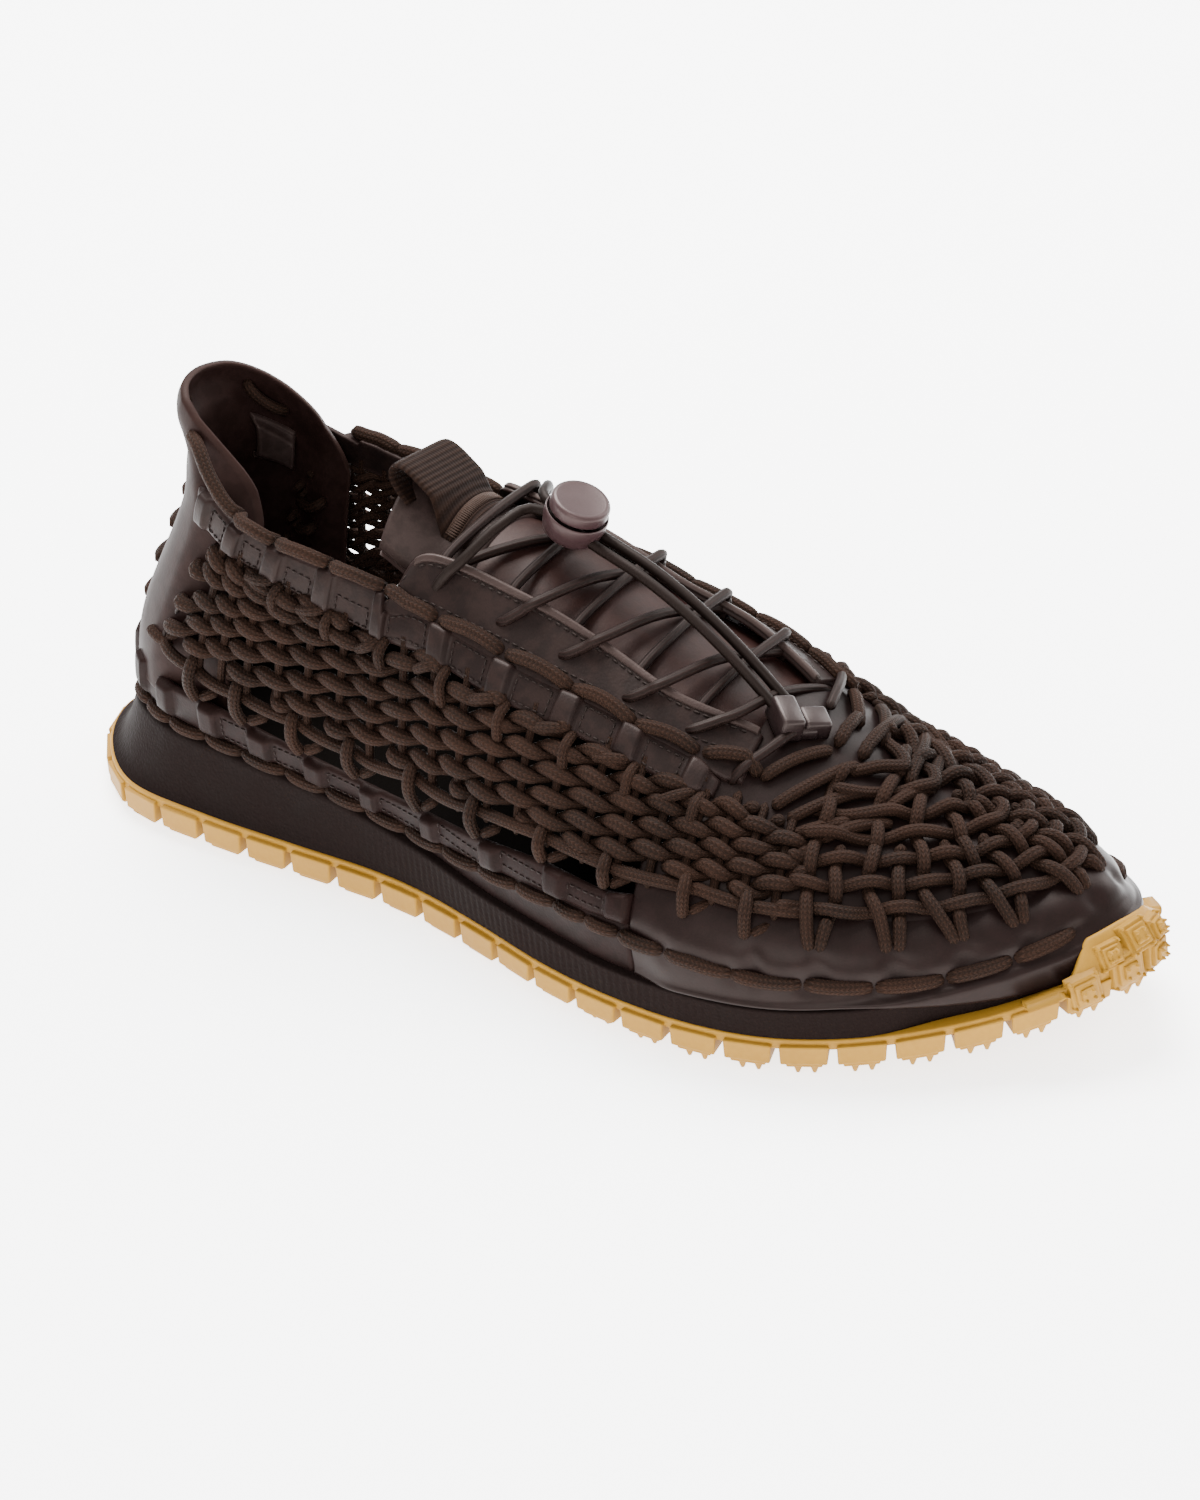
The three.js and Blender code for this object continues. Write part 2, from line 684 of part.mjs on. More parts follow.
function toeRand() {
  const levels = range(0, RAND_LEVEL);
  const from = column(RAND_STATION) + EDGE_GAP;
  return overlay(from, COLUMNS - from, levels, (c, j) => (j === 1 && !underBumper(c) ? dash(c) : 0));
}

function foxingStrap() {
  const reach = column(RAND_STATION) - EDGE_GAP;
  return overlay(-reach, reach, range(0, FOXING_LEVEL));
}

function heelCounter() {
  const reach = column(COUNTER_STATION) - EDGE_GAP;
  const levels = range(FOXING_LEVEL, TOP_LEVEL);
  levels[0] += EDGE_GAP;
  return overlay(-reach, reach, levels);
}

function collarStrap(side) {
  const [from, to] = [column(COUNTER_STATION) + EDGE_GAP, column(EYESTAY_STATION) - EDGE_GAP];
  const levels = range(COLLAR_LEVEL, TOP_LEVEL);
  const rise = (c, j) => (j === levels.length - 1 ? dash(c) : 0);
  return side < 0 ? overlay(from, to, levels, rise) : overlay(COLUMNS - to, COLUMNS - from, levels, rise);
}

function eyestay(side) {
  const [from, to] = [column(EYESTAY_STATION) + EDGE_GAP, THROAT_COLUMN - 1];
  const levels = range(EYESTAY_LEVEL, TOP_LEVEL);
  levels[0] += EDGE_GAP;
  return side < 0 ? overlay(from, to, levels) : overlay(COLUMNS - to, COLUMNS - from, levels);
}

function eyestayStrap(side) {
  const [from, to] = [column(EYESTAY_STATION) + EDGE_GAP, THROAT_COLUMN + 1];
  const levels = [STRAP_LEVEL, STRAP_LEVEL + 1, EYESTAY_LEVEL - EDGE_GAP];
  return side < 0 ? overlay(from, to, levels) : overlay(COLUMNS - to, COLUMNS - from, levels);
}

// Tongue: a padded leather strip under the throat, rounded over the instep, a row per station.
const TONGUE_THICKNESS = 3;
const TONGUE_ROWS = [
  { x: 97, z: 104, half: 20, drop: 13 },
  { x: 108, z: 98.5, half: 20, drop: 14 },
  { x: 122, z: 92.5, half: 20, drop: 13.5 },
  { x: 140, z: 86.5, half: 20, drop: 12.5 },
  { x: 160, z: 78.5, half: 20, drop: 12 },
  { x: 180, z: 69.5, half: 19, drop: 11 },
  { x: 195, z: 62, half: 17, drop: 10 },
  { x: 207, z: 56, half: 14, drop: 8 },
];
const TONGUE_ACROSS = 9;
const TONGUE_Y = 1;
const TONGUE_SLOPE = 0.4;
const TONGUE_CROWN = 2.2;
const TONGUE_LEAN = 0.7;

function tonguePoint(row, share, lower) {
  const { x, z, half, drop } = row;
  const p = new THREE.Vector3(x, TONGUE_Y + half * share, z - drop * Math.abs(share) ** TONGUE_CROWN);
  return p.addScaledVector(new THREE.Vector3(TONGUE_SLOPE, share * TONGUE_LEAN, 1).normalize(), -lower);
}

function tongue() {
  const share = (j) => (2 * j) / (TONGUE_ACROSS - 1) - 1;
  const outer = (i, j) => tonguePoint(TONGUE_ROWS[i], share(j), 0);
  const inner = (i, j) => tonguePoint(TONGUE_ROWS[i], share(j), TONGUE_THICKNESS);
  return shell(TONGUE_ROWS.length, TONGUE_ACROSS, false, outer, inner);
}

// Pull loop of webbing standing on the tongue's top.
const LOOP_ARC = 8;
const LOOP_BOW = 0.8;
const LOOP = { x: 101, z: 101.7, width: 20, length: 14, height: 10, thickness: 1.8, lean: -0.35 };

function pullLoop() {
  const outline = (grow) => {
    const half = LOOP.length / 2 + grow;
    const shape = [];
    for (let n = 0; n <= LOOP_ARC; n += 1) {
      const angle = (Math.PI * n) / LOOP_ARC;
      const rise = (LOOP.height + grow) * Math.sin(angle) ** LOOP_BOW;
      shape.push(new THREE.Vector2(half * Math.cos(angle), rise));
    }
    return shape;
  };
  const shape = new THREE.Shape([...outline(0), ...outline(-LOOP.thickness).reverse()]);
  const geometry = new THREE.ExtrudeGeometry(shape, { depth: LOOP.width, bevelEnabled: false });
  geometry.rotateX(Math.PI / 2);
  geometry.translate(0, LOOP.width / 2, 0);
  geometry.rotateY(-LOOP.lean);
  geometry.translate(LOOP.x, TONGUE_Y, LOOP.z);
  return welded(geometry);
}

// A round cord along a route.
function cord(route, diameter, steps, sides = LACE_SIDES) {
  const path = new THREE.CatmullRomCurve3(route, false, 'centripetal');
  const section = new THREE.Shape();
  for (let n = 0; n < sides; n += 1) {
    const angle = (2 * Math.PI * (n + 0.5)) / sides;
    const at = [(diameter / 2) * Math.cos(angle), (diameter / 2) * Math.sin(angle)];
    if (n === 0) section.moveTo(...at);
    else section.lineTo(...at);
  }
  section.closePath();
  const geometry = new THREE.ExtrudeGeometry(section, { steps, bevelEnabled: false, extrudePath: path });
  return welded(geometry);
}

// Lace: six rows of holes on each side, crossed between the rows over the tongue.
const LACE_ROWS = [118, 133, 149, 165, 180, 192];
const LACE_LIFT = OVERLAY_OUT + LACE_DIAMETER / 2 + 1.8;
const LACE_SAG = 4;
const STRAND_LIFT = 0.9;
const TURN_OUT = 3;

function columnAt(x, side) {
  const turn = (c) => (side < 0 ? c : COLUMNS - c);
  let c = column(EYESTAY_STATION);
  while (c < THROAT_COLUMN - 0.6 && lastPoint(turn(c), TOP_LEVEL, 0).x < x) c += 0.05;
  return turn(c);
}

// Where the lace turns over the eyestay's edge at a row of holes.
function laceTurn(row, side) {
  const edge = lastPoint(columnAt(LACE_ROWS[row], side), TOP_LEVEL, 0);
  return edge.add(new THREE.Vector3(0, side * TURN_OUT, LACE_LIFT));
}

// One strand of the lace from the top row to the bottom row, changing sides at each row.
function strand(firstSide, lift) {
  const route = [];
  for (let row = 0; row < LACE_ROWS.length; row += 1) {
    const side = row % 2 === 0 ? firstSide : -firstSide;
    const turn = laceTurn(row, side);
    if (row > 0) {
      const over = route[route.length - 1].clone().lerp(turn, 0.5);
      over.z += lift - LACE_SAG;
      route.push(over);
    }
    route.push(turn);
  }
  return cord(route, LACE_DIAMETER, (LACE_ROWS.length - 1) * CROSSING_STEPS, CROSSING_SIDES);
}

function laceCrossings() {
  const last = LACE_ROWS.length - 1;
  const ends = [laceTurn(last, -1), laceTurn(last, 1)];
  const over = ends[0].clone().lerp(ends[1], 0.5).add(new THREE.Vector3(0, 0, -LACE_SAG));
  const bar = cord([ends[0], over, ends[1]], LACE_DIAMETER, 2, CROSSING_SIDES);
  return join([strand(-1, STRAND_LIFT), strand(1, -STRAND_LIFT), bar]);
}

// Cord lock: a barrel with a sprung button in its bore, lying on the lace.
const LOCK_AT = new THREE.Vector3(139, 2, 96.4);
const LOCK_TILT = 0.36;
const LOCK_SIDES = 12;
const BORE_RADIUS = 5.2;
const BORE_DEPTH = 6;
const BORE_PLAY = 0.4;
const STEM_RADIUS = BORE_RADIUS - BORE_PLAY;
const STEM_REACH = 4.6;
const LOCK_BEVEL = 1.1;
const BUTTON_SIDE = 2.2;
const BUTTON_CROWN = 1;

function lathe(profile, sides) {
  const geometry = new THREE.LatheGeometry(profile.map(([r, z]) => new THREE.Vector2(r, z)), sides);
  return welded(geometry.rotateX(Math.PI / 2));
}

function lockBarrel() {
  const [r, h, e] = [LOCK_RADIUS, LOCK_HEIGHT, LOCK_BEVEL];
  return lathe([
    [0, 0], [r - e, 0], [r, e], [r, h - e], [r - e, h], [BORE_RADIUS, h],
    [BORE_RADIUS, h - BORE_DEPTH], [0, h - BORE_DEPTH],
  ], LOCK_SIDES);
}

function lockButton() {
  const base = LOCK_HEIGHT + BUTTON_TRAVEL + BORE_PLAY;
  const top = base + BUTTON_SIDE + BUTTON_CROWN;
  return lathe([
    [0, base - STEM_REACH], [STEM_RADIUS, base - STEM_REACH], [STEM_RADIUS, base], [BUTTON_RADIUS, base],
    [BUTTON_RADIUS, base + BUTTON_SIDE], [BUTTON_RADIUS - BUTTON_CROWN, top], [0, top],
  ], LOCK_SIDES);
}

// Hook that ends the elastic at the foot of the throat.
const HOOK_AT = new THREE.Vector3(203, 0.8, 69.8);
const HOOK_LENGTH = 16;
const HOOK_RADIUS = 3;
const HOOK_END = 2.1;
const HOOK_BEVEL = 1;
const PLATE = { length: 9, thickness: 2, ahead: 3.5, drop: 1.9 };

function cordHook() {
  const half = HOOK_LENGTH / 2;
  const bar = lathe([
    [0, -half], [HOOK_END, -half], [HOOK_RADIUS, HOOK_BEVEL - half], [HOOK_RADIUS, half - HOOK_BEVEL],
    [HOOK_END, half], [0, half],
  ], LOCK_SIDES);
  bar.rotateX(Math.PI / 2);
  const plate = new THREE.BoxGeometry(PLATE.length, PLATE.length, PLATE.thickness);
  plate.translate(PLATE.ahead, 0, -PLATE.drop);
  return join([bar, plate]);
}

// The two elastic ends: from the top holes to the lock, then side by side to the hook.
const TAIL_SPREAD = 2.4;
const TAIL_GAP = CLEARANCE + 0.3;
const TAIL_BOW = 4.2;
const TAIL_STEPS = 8;
const LEAD_STEPS = 6;
const TAIL_RISE = 1.7;
const LEAD_BOW = 2.5;
const LEAD_RISE = 1.2;
const LACE_IN_LOCK = 3.8;

function lockFace(side, ahead) {
  const reach = (LOCK_RADIUS + TAIL_GAP) * ahead;
  return new THREE.Vector3(reach, side * TAIL_SPREAD, LACE_IN_LOCK)
    .applyAxisAngle(new THREE.Vector3(0, 1, 0), LOCK_TILT)
    .add(LOCK_AT);
}

function lead(side) {
  const start = laceTurn(0, side).add(new THREE.Vector3(-LACE_DIAMETER - TAIL_GAP, 0, LEAD_RISE));
  const end = lockFace(side, -1);
  const middle = start.clone().lerp(end, 0.5).add(new THREE.Vector3(0, 0, LEAD_BOW));
  return cord([start, middle, end], LACE_DIAMETER, LEAD_STEPS);
}

function tail(side) {
  const start = lockFace(side, 1);
  const toHook = new THREE.Vector3(-HOOK_RADIUS - TAIL_GAP, side * TAIL_SPREAD, TAIL_RISE);
  const end = HOOK_AT.clone().add(toHook);
  const middle = start.clone().lerp(end, 0.5).add(new THREE.Vector3(0, 0, TAIL_BOW));
  return cord([start, middle, end], LACE_DIAMETER, TAIL_STEPS);
}

// Finishes
const GUM = new THREE.MeshStandardMaterial({ color: 0xd6ac68, roughness: 0.6, metalness: 0 });
const FOAM = new THREE.MeshStandardMaterial({ color: 0x4a403c, roughness: 0.85, metalness: 0 });
const CORD = new THREE.MeshStandardMaterial({ color: 0x3e2c24, roughness: 0.9, metalness: 0 });
const LEATHER = new THREE.MeshStandardMaterial({ color: 0x483c3a, roughness: 0.5, metalness: 0 });
const TONGUE_LEATHER = new THREE.MeshStandardMaterial({ color: 0x4b332b, roughness: 0.45, metalness: 0 });
const WEBBING = new THREE.MeshStandardMaterial({ color: 0x4a3f3a, roughness: 0.9, metalness: 0 });
const ELASTIC = new THREE.MeshStandardMaterial({ color: 0x4a3430, roughness: 0.6, metalness: 0 });
const PLASTIC = new THREE.MeshStandardMaterial({ color: 0x4a3a3e, roughness: 0.45, metalness: 0 });

const shoe = new THREE.Group();

function addPiece(name, geometry, material, parent = shoe) {
  const mesh = new THREE.Mesh(geometry, material.clone());
  mesh.name = name;
  parent.add(mesh);
  return mesh;
}

addPiece('outsole', outsole(), GUM);
addPiece('midsole', midsole(), FOAM);
addPiece('insole', insole(), WEBBING);
addPiece('upper', upper(), CORD);
addPiece('toe_rand', toeRand(), LEATHER);
addPiece('foxing_strap', foxingStrap(), LEATHER);
addPiece('heel_counter', heelCounter(), LEATHER);
for (const [name, side] of [['outer', -1], ['inner', 1]]) {
  addPiece(`collar_strap_${name}`, collarStrap(side), LEATHER);
  addPiece(`eyestay_${name}`, eyestay(side), LEATHER);
  addPiece(`eyestay_strap_${name}`, eyestayStrap(side), LEATHER);
}
addPiece('tongue', tongue(), TONGUE_LEATHER);
addPiece('tongue_pull_loop', pullLoop(), WEBBING);
addPiece('lace_crossings', laceCrossings(), ELASTIC);
for (const [name, side] of [['outer', -1], ['inner', 1]]) {
  addPiece(`lace_lead_${name}`, lead(side), ELASTIC);
  addPiece(`lace_tail_${name}`, tail(side), ELASTIC);
}
const lock = new THREE.Group();
lock.position.copy(LOCK_AT);
lock.rotation.y = LOCK_TILT;
shoe.add(lock);
addPiece('cord_lock_barrel', lockBarrel(), PLASTIC, lock);
addPiece('cord_lock_button', lockButton(), PLASTIC, lock);
const hook = new THREE.Group();
hook.position.copy(HOOK_AT);
hook.rotation.y = LOCK_TILT;
shoe.add(hook);
addPiece('cord_hook', cordHook(), PLASTIC, hook);

// The part's origin is under the middle of its box.
const whole = new THREE.Box3().setFromObject(shoe);
const middle = whole.getCenter(new THREE.Vector3());
shoe.position.set(-middle.x, -middle.y, -whole.min.z);
shoe.updateMatrixWorld(true);

export default shoe;
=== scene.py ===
"""Woven sneaker for the right foot: braided cord net, leather straps and rand, gum sole, elastic lace."""
import logging
import math
from collections.abc import Callable, Sequence
from dataclasses import dataclass, field
from enum import Enum

import bpy
import numpy as np
from mathutils import Matrix, Vector


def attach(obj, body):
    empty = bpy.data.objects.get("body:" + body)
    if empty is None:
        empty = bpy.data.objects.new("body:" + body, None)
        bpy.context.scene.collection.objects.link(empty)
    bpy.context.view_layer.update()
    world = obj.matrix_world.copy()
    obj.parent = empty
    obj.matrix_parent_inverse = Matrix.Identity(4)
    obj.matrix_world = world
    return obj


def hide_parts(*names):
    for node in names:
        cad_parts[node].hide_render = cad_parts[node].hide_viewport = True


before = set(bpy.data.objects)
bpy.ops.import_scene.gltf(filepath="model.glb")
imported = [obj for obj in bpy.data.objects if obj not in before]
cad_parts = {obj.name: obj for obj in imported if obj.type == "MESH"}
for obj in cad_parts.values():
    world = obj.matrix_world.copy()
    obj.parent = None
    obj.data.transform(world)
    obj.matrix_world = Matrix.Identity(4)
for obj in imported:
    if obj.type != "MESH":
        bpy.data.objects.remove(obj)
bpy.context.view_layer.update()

LOG = logging.getLogger("woven_sneaker")

# The shoe's own coordinates are millimetres from the back of the heel; the frame's are metres.
MM = 0.001
SHIFT = np.array([-148.5, 6.009988784790039, 0.0])
SHOE, BUTTON = "shoe", "button"
# Measure of a place far from any edge, and the direction out of the throat.
PLAIN = 9.0
OUT_OF_THROAT = (0.4, 0, 1)

Array, Socket, Piece = np.ndarray, bpy.types.NodeSocket, bpy.types.Object
Values = Array | float
Knots = Sequence[Sequence[float]] | Array
Rows = tuple[tuple[float, ...], ...]
Point = tuple[float, float, float]
Colour = tuple[int, int, int]
Face = Callable[[Array, Array], Array] | Values

# Columns run round the foot: 0 at the heel, down the outer side to the toe, back along the inner side.
COLUMNS, TOE, THROAT_COLUMN, THROAT_ROW = 84, 42, 30, 10
SPRING_START, SPRING_RISE, SPRING_END, GUM_HEIGHT, GUM_LIP = 212.0, 15.0, 300.0, 10.0, 2.8
TAB_FLARE, TAB_LEVEL, TAB_SPREAD = 5.5, 0.9, 0.1
BELOW = 90.0

# Foam height over the gum along the shoe: x, height.
FOAM_ROWS = np.array([
    (0, 18.5), (50, 18.2), (85, 16.4), (115, 13), (145, 10.2), (180, 8.8), (240, 8.4), (300, 7)], float)
# Ground outline of the sole: x, outer width, inner width.
SOLE_ROWS = np.array([
    (0, 0, 0), (7, 19, 18), (24, 34, 32), (50, 38, 36), (78, 39, 35), (102, 39.5, 32.5), (120, 42, 31.5),
    (140, 47.5, 33), (162, 54.5, 37), (184, 58.5, 42), (207, 59, 46), (231, 54, 46.5), (256, 42, 41.5),
    (281, 22, 30), (297, -6, 6)], float)
# The last, a row per station: foot x, outer, inner | belly x, outer, inner, z | shoulder | edge.
LAST_ROWS = np.array([
    (15, 0, 0, 18, 0, 0, 52, 34, 0, 0, 90, 38, 0, 0, 119),
    (20, 17, 16, 23, 18, 17, 51, 37, 14, 13.5, 89, 42, 12.5, 11.5, 116.5),
    (35, 27, 26, 38, 29.5, 28.5, 50, 48, 24.5, 23, 84, 53, 22, 20, 105),
    (56, 30.5, 29.5, 57, 33, 31.5, 48, 62, 30, 27.5, 76, 66, 27, 24.5, 92),
    (80, 32.5, 29.5, 81, 35, 32, 47, 83, 31.5, 28.5, 73, 85, 28, 25, 88),
    (102, 35, 28, 102, 37, 31.5, 46, 103, 32, 29, 72, 103, 26.5, 24, 89),
    (120, 39, 28, 120, 41, 33, 44, 117, 32, 29, 75, 113, 18, 16.5, 96),
    (140, 45, 30, 139, 46.5, 35.5, 41, 138, 34, 30, 73, 138, 15, 14.5, 92),
    (162, 51, 34, 161, 52, 38, 38, 160, 36, 31, 67, 160, 13.5, 13.5, 84),
    (184, 55.5, 39, 183, 55.5, 41, 35, 182, 37, 32.5, 60, 181, 12, 13, 75.5),
    (207, 56, 43, 205, 55, 43.5, 33, 202, 36, 32.5, 54, 199, -2, 2, 68),
    (230, 51, 43, 227, 49.5, 41.5, 32.5, 222, 33, 28, 48.5, 217, -3, 3, 59.5),
    (253.5, 38.5, 37.5, 249, 36, 34.5, 33, 240, 22.5, 22.5, 46, 232, -3.5, 3.5, 53),
    (276.5, 17, 25, 270, 15.5, 22.5, 36, 256, 7.5, 14, 45.5, 244, -4, 4, 49.5),
    (289.5, -6, 6, 281.5, -5.5, 5.5, 37, 265, -4.5, 4.5, 45, 250, -4.3, 4.3, 48.3)], float)

# The net: each row as (column, level) knots from the foot of the net up to the straps.
NET_ROWS = (
    ((6.1, .70), (6.7, .73), (7.6, .77), (8.7, .812), (9.8, .84), (10.6, .853)),
    ((5.6, .60), (6.3, .64), (7.5, .70), (8.7, .755), (9.8, .795), (10.7, .815), (11.8, .835), (12.6, .84)),
    ((5.5, .45), (6.3, .505), (7.2, .57), (8.5, .65), (9.6, .705), (10.6, .75), (11.7, .785), (12.9, .805),
     (13.8, .808)),
    ((5.2, .32), (6.9, .455), (8.1, .535), (9.3, .605), (10.4, .65), (11.6, .695), (12.8, .735), (14.1, .753),
     (15.5, .75)),
    ((6.6, .345), (7.8, .42), (9.0, .485), (10.1, .54), (11.2, .585), (12.5, .625), (13.8, .655), (15.5, .66),
     (17.4, .65), (19.2, .66)),
    ((8.7, .375), (9.8, .42), (11.0, .465), (12.3, .51), (13.6, .555), (15.0, .572), (17.2, .562), (19.1, .58),
     (20.6, .62), (21.8, .648)),
    ((10.7, .36), (12.0, .40), (13.2, .437), (14.7, .475), (16.8, .487), (18.7, .503), (20.3, .54), (22.0, .59),
     (22.9, .625), (24.2, .655)),
    ((12.9, .345), (14.5, .385), (16.4, .40), (18.2, .42), (20.1, .46), (21.6, .505), (23.0, .55), (24.3, .592),
     (25.6, .635), (26.5, .66)),
    ((16.0, .32), (17.8, .335), (19.8, .375), (21.4, .425), (22.9, .475), (24.2, .522), (25.6, .562),
     (27.0, .602), (28.1, .62), (29.1, .63)),
    ((19.6, .315), (21.1, .35), (22.7, .395), (24.0, .44), (25.3, .487), (26.8, .53), (28.0, .547), (29.3, .55),
     (30.4, .555), (31.2, .58)),
    ((22.6, .345), (24.1, .378), (25.4, .42), (26.8, .457), (28.0, .475), (29.3, .483), (30.3, .492),
     (31.2, .53), (32.2, .575)),
    ((24.4, .335), (25.4, .35), (26.6, .38), (28.1, .408), (29.4, .42), (30.5, .433), (31.4, .47), (32.3, .52),
     (33.2, .56)),
    ((28.2, .345), (29.3, .355), (30.5, .372), (31.5, .412), (32.5, .455), (33.4, .50)),
    ((30.6, .325), (31.7, .345), (32.6, .39), (33.5, .435)),
)
# Rows that close the inner side's net towards its strap.
LOW_ROWS = (((5.4, .235), (8, .25), (11, .25), (14, .235), (17, .22), (20, .235)),
            ((6.2, .41), (7.4, .40), (9, .395), (10.6, .39)))
# Columns of the standing cords that the rows are twisted round.
STANDING = (4.2, 5.2, 6.3, 7.7, 8.8, 9.9, 11.1, 12.3, 13.7, 15.2, 17.1, 18.8, 20.2, 21.6, 22.9, 24.2, 25.6, 26.9,
            28.1, 29.3, 30.4, 31.4, 32.5, 33.6, 34.7)
# The long cord along the foot of the net.
FOOT_CORD = ((4.6, .31), (6.6, .32), (8.8, .322), (10.9, .325), (13.2, .305), (16.1, .28), (19.8, .28), (22.6, .318),
             (25.5, .335), (28.0, .325), (30.7, .303), (32.7, .305), (33.6, .315))
# Loops that hang the foot cord: column, top level, bottom level.
LOOPS = ((7.7, .36, .195), (9.8, .37, .195), (12.0, .345, .17), (14.5, .335, .18), (18.0, .31, .165),
         (21.3, .32, .215), (24.2, .345, .255), (26.7, .35, .265), (29.6, .335, .225), (31.7, .325, .205))
# Ties that hang the net from the straps: column, level.
TIES = ((10.6, .885), (12.9, .853), (15.6, .768), (19.2, .665), (21.7, .648), (24.2, .656), (26.5, .66), (29.0, .60))
# Foxing strap: column, low level, high level.
FOXING = ((-28, .17, .27), (-24, .155, .25), (-18, .06, .157), (-12, .03, .155), (-6, .04, .178), (0, .045, .185),
          (6, .04, .178), (8, .04, .193), (10, .04, .18), (12.2, .03, .155), (14.7, .035, .15), (18.1, .06, .157),
          (21.2, .11, .205), (24.1, .155, .25), (26.5, .17, .257), (27.9, .17, .272))
# Strap along the collar and the eyestay: column, centre level.
STRAP = ((5.0, .80), (6, .835), (7.4, .875), (8.5, .91), (9.6, .93), (10.8, .925), (12, .91), (14.2, .862), (15.8, .80),
         (17.4, .74), (20, .70), (22.5, .693), (25.3, .708), (27, .70), (28.3, .66), (29.6, .61))
STRAP_HALF = 0.058
# The rope along the strap's upper edge, and the columns where it goes in.
STRAP_ROPE = ((3.8, .945), (4.8, .97), (6.0, .965), (7.2, .975), (8.2, 1.0), (9.4, 1.03), (11.5, 1.038), (12.9, 1.028),
              (14.4, 1.0), (15.6, .945), (17.3, .825), (19, .787), (20.5, .778), (22.5, .772), (25, .777), (27, .77),
              (28.5, .74), (29.8, .715), (30.8, .70))
ROPE_MARKS = (3.8, 7.9, 10.2, 12.6, 15.2, 18.6, 21.2, 23.7, 26.1, 28.4, 30.8)
# The eyestay's edge along the throat.
THROAT_EDGE = ((14, .99), (17, .985), (19, .968), (21, .955), (23, .95), (25.5, .935), (27.5, .905),
               (29, .865), (30.4, .81))
# The running stitch along the foot of the straps and round the rand.
RUNNING = ((0, .015), (5.7, .02), (8, .025), (11.4, .018), (14.6, .03), (18.2, .05), (21.2, .095), (24.3, .135),
           (26.7, .142), (28.3, .132), (29.4, .118), (31.3, .1), (33.6, .086), (35.5, .064), (37, .055),
           (38.6, .066), (39.9, .088), (40.6, .104))
RUNNING_MARKS = (-1.2, .7, 2.6, 4.4, 6.1, 7.9, 9.6, 11.3, 13.0, 14.8, 17.0, 19.2, 21.2, 23.0, 24.7, 26.1, 27.4, 29.1,
                 31.3, 33.4, 35.3, 37.0, 38.5, 40.3)
# The rand's upper edge.
RAND_TOP = ((27.8, .265), (30, .24), (33, .225), (36, .21), (39, .235), (42, .30))
# Lace holes on the eyestay: column, level.
HOLES = ((18.3, .875), (20.5, .84), (22.8, .835), (25.3, .822), (27.6, .80))
# Long stitches that fan out over the leather on both sides of the throat's foot, and those across its middle.
FAN = (((30.85, .69), (31.7, .80), (32.6, .90)), ((31.6, .62), (32.6, .745), (33.85, .905)),
       ((32.25, .60), (33.5, .715), (34.85, .83)), ((32.65, .56), (33.5, .61), (34.5, .67)),
       ((33.55, .57), (34.7, .65), (36.0, .72)), ((35.4, .74), (36.4, .87), (37.5, 1.0)))
CROSSWAYS = (((32.7, .935), (32.5, 1.04), (32.25, 1.14)), ((33.8, .945), (33.3, 1.15), (32.4, 1.4)),
             ((36.35, .955), (35.2, 1.16), (33.4, 1.4)), ((35.65, .96), (35.1, 1.06), (34.55, 1.15)))
# Levels of the cords across the back of the heel, and the dashes that show on the counter's inside.
HEEL_LEVELS = (.24, .36, .49, .61, .72, .82, .905)
HEEL_DASHES = (((3.2, .93), (4.0, .905), (5.0, .90)), ((5.8, .562), (6.6, .61), (7.35, .67)),
               ((5.95, .445), (6.95, .52)), ((6.2, .335), (6.95, .39)))


class Side(Enum):
    """The two sides of the foot."""

    OUTER = "outer"
    INNER = "inner"

    def column(self, c: Values) -> Values:
        """Column c of the outer side as this side's own column."""
        return c if self is Side.OUTER else COLUMNS - c

    @property
    def sign(self) -> float:
        """-1 on the outer side and 1 on the inner side, as +Y is."""
        return -1.0 if self is Side.OUTER else 1.0


def smoothstep(x: Values, a: float, b: float) -> Array:
    """Smooth rise from 0 at a to 1 at b."""
    t = np.clip((np.asarray(x, float) - a) / (b - a), 0, 1)
    return t * t * (3 - 2 * t)


def unit(v: Array) -> Array:
    """Vectors scaled to length 1."""
    return v / np.maximum(np.linalg.norm(v, axis=-1, keepdims=True), 1e-9)


def bell(x: Values, width: float) -> Array:
    """Bell curve: 1 where x is 0, and little beyond width."""
    return np.exp(-(x / width) ** 2)


def rounded(edge: Array, roll: float) -> Array:
    """Height from 0 to 1 of a rounded edge of width roll, at distances from it."""
    return np.sqrt(np.clip(1 - (1 - np.clip(edge / roll, 0, 1)) ** 2, 0, 1))


def nearest(x: Array, marks: Sequence[float] | Array) -> Array:
    """Distance from each x to the mark nearest to it."""
    return np.min(np.abs(x[..., None] - np.asarray(marks)), -1)


def spring(x: Values) -> Array:
    """Height of the toe spring at x."""
    return SPRING_RISE * (np.maximum(0, np.asarray(x, float) - SPRING_START) / (SPRING_END - SPRING_START)) ** 2


def gum_top(x: Values) -> Array:
    """Height of the gum's upper face at x."""
    return spring(x) + GUM_HEIGHT


def feather(x: Values) -> Array:
    """Height of the line where the upper meets the foam.

    Args:
        x: Places along the shoe.

    Returns:
        Heights over the ground.
    """
    x = np.asarray(x, float)
    rows = FOAM_ROWS
    n = np.clip(np.searchsorted(rows[:, 0], x), 1, len(rows) - 1)
    t = np.clip((x - rows[n - 1, 0]) / (rows[n, 0] - rows[n - 1, 0]), 0, 1)
    t = 0.5 * (t + t * t * (3 - 2 * t))
    return gum_top(x) + rows[n - 1, 1] + (rows[n, 1] - rows[n - 1, 1]) * t


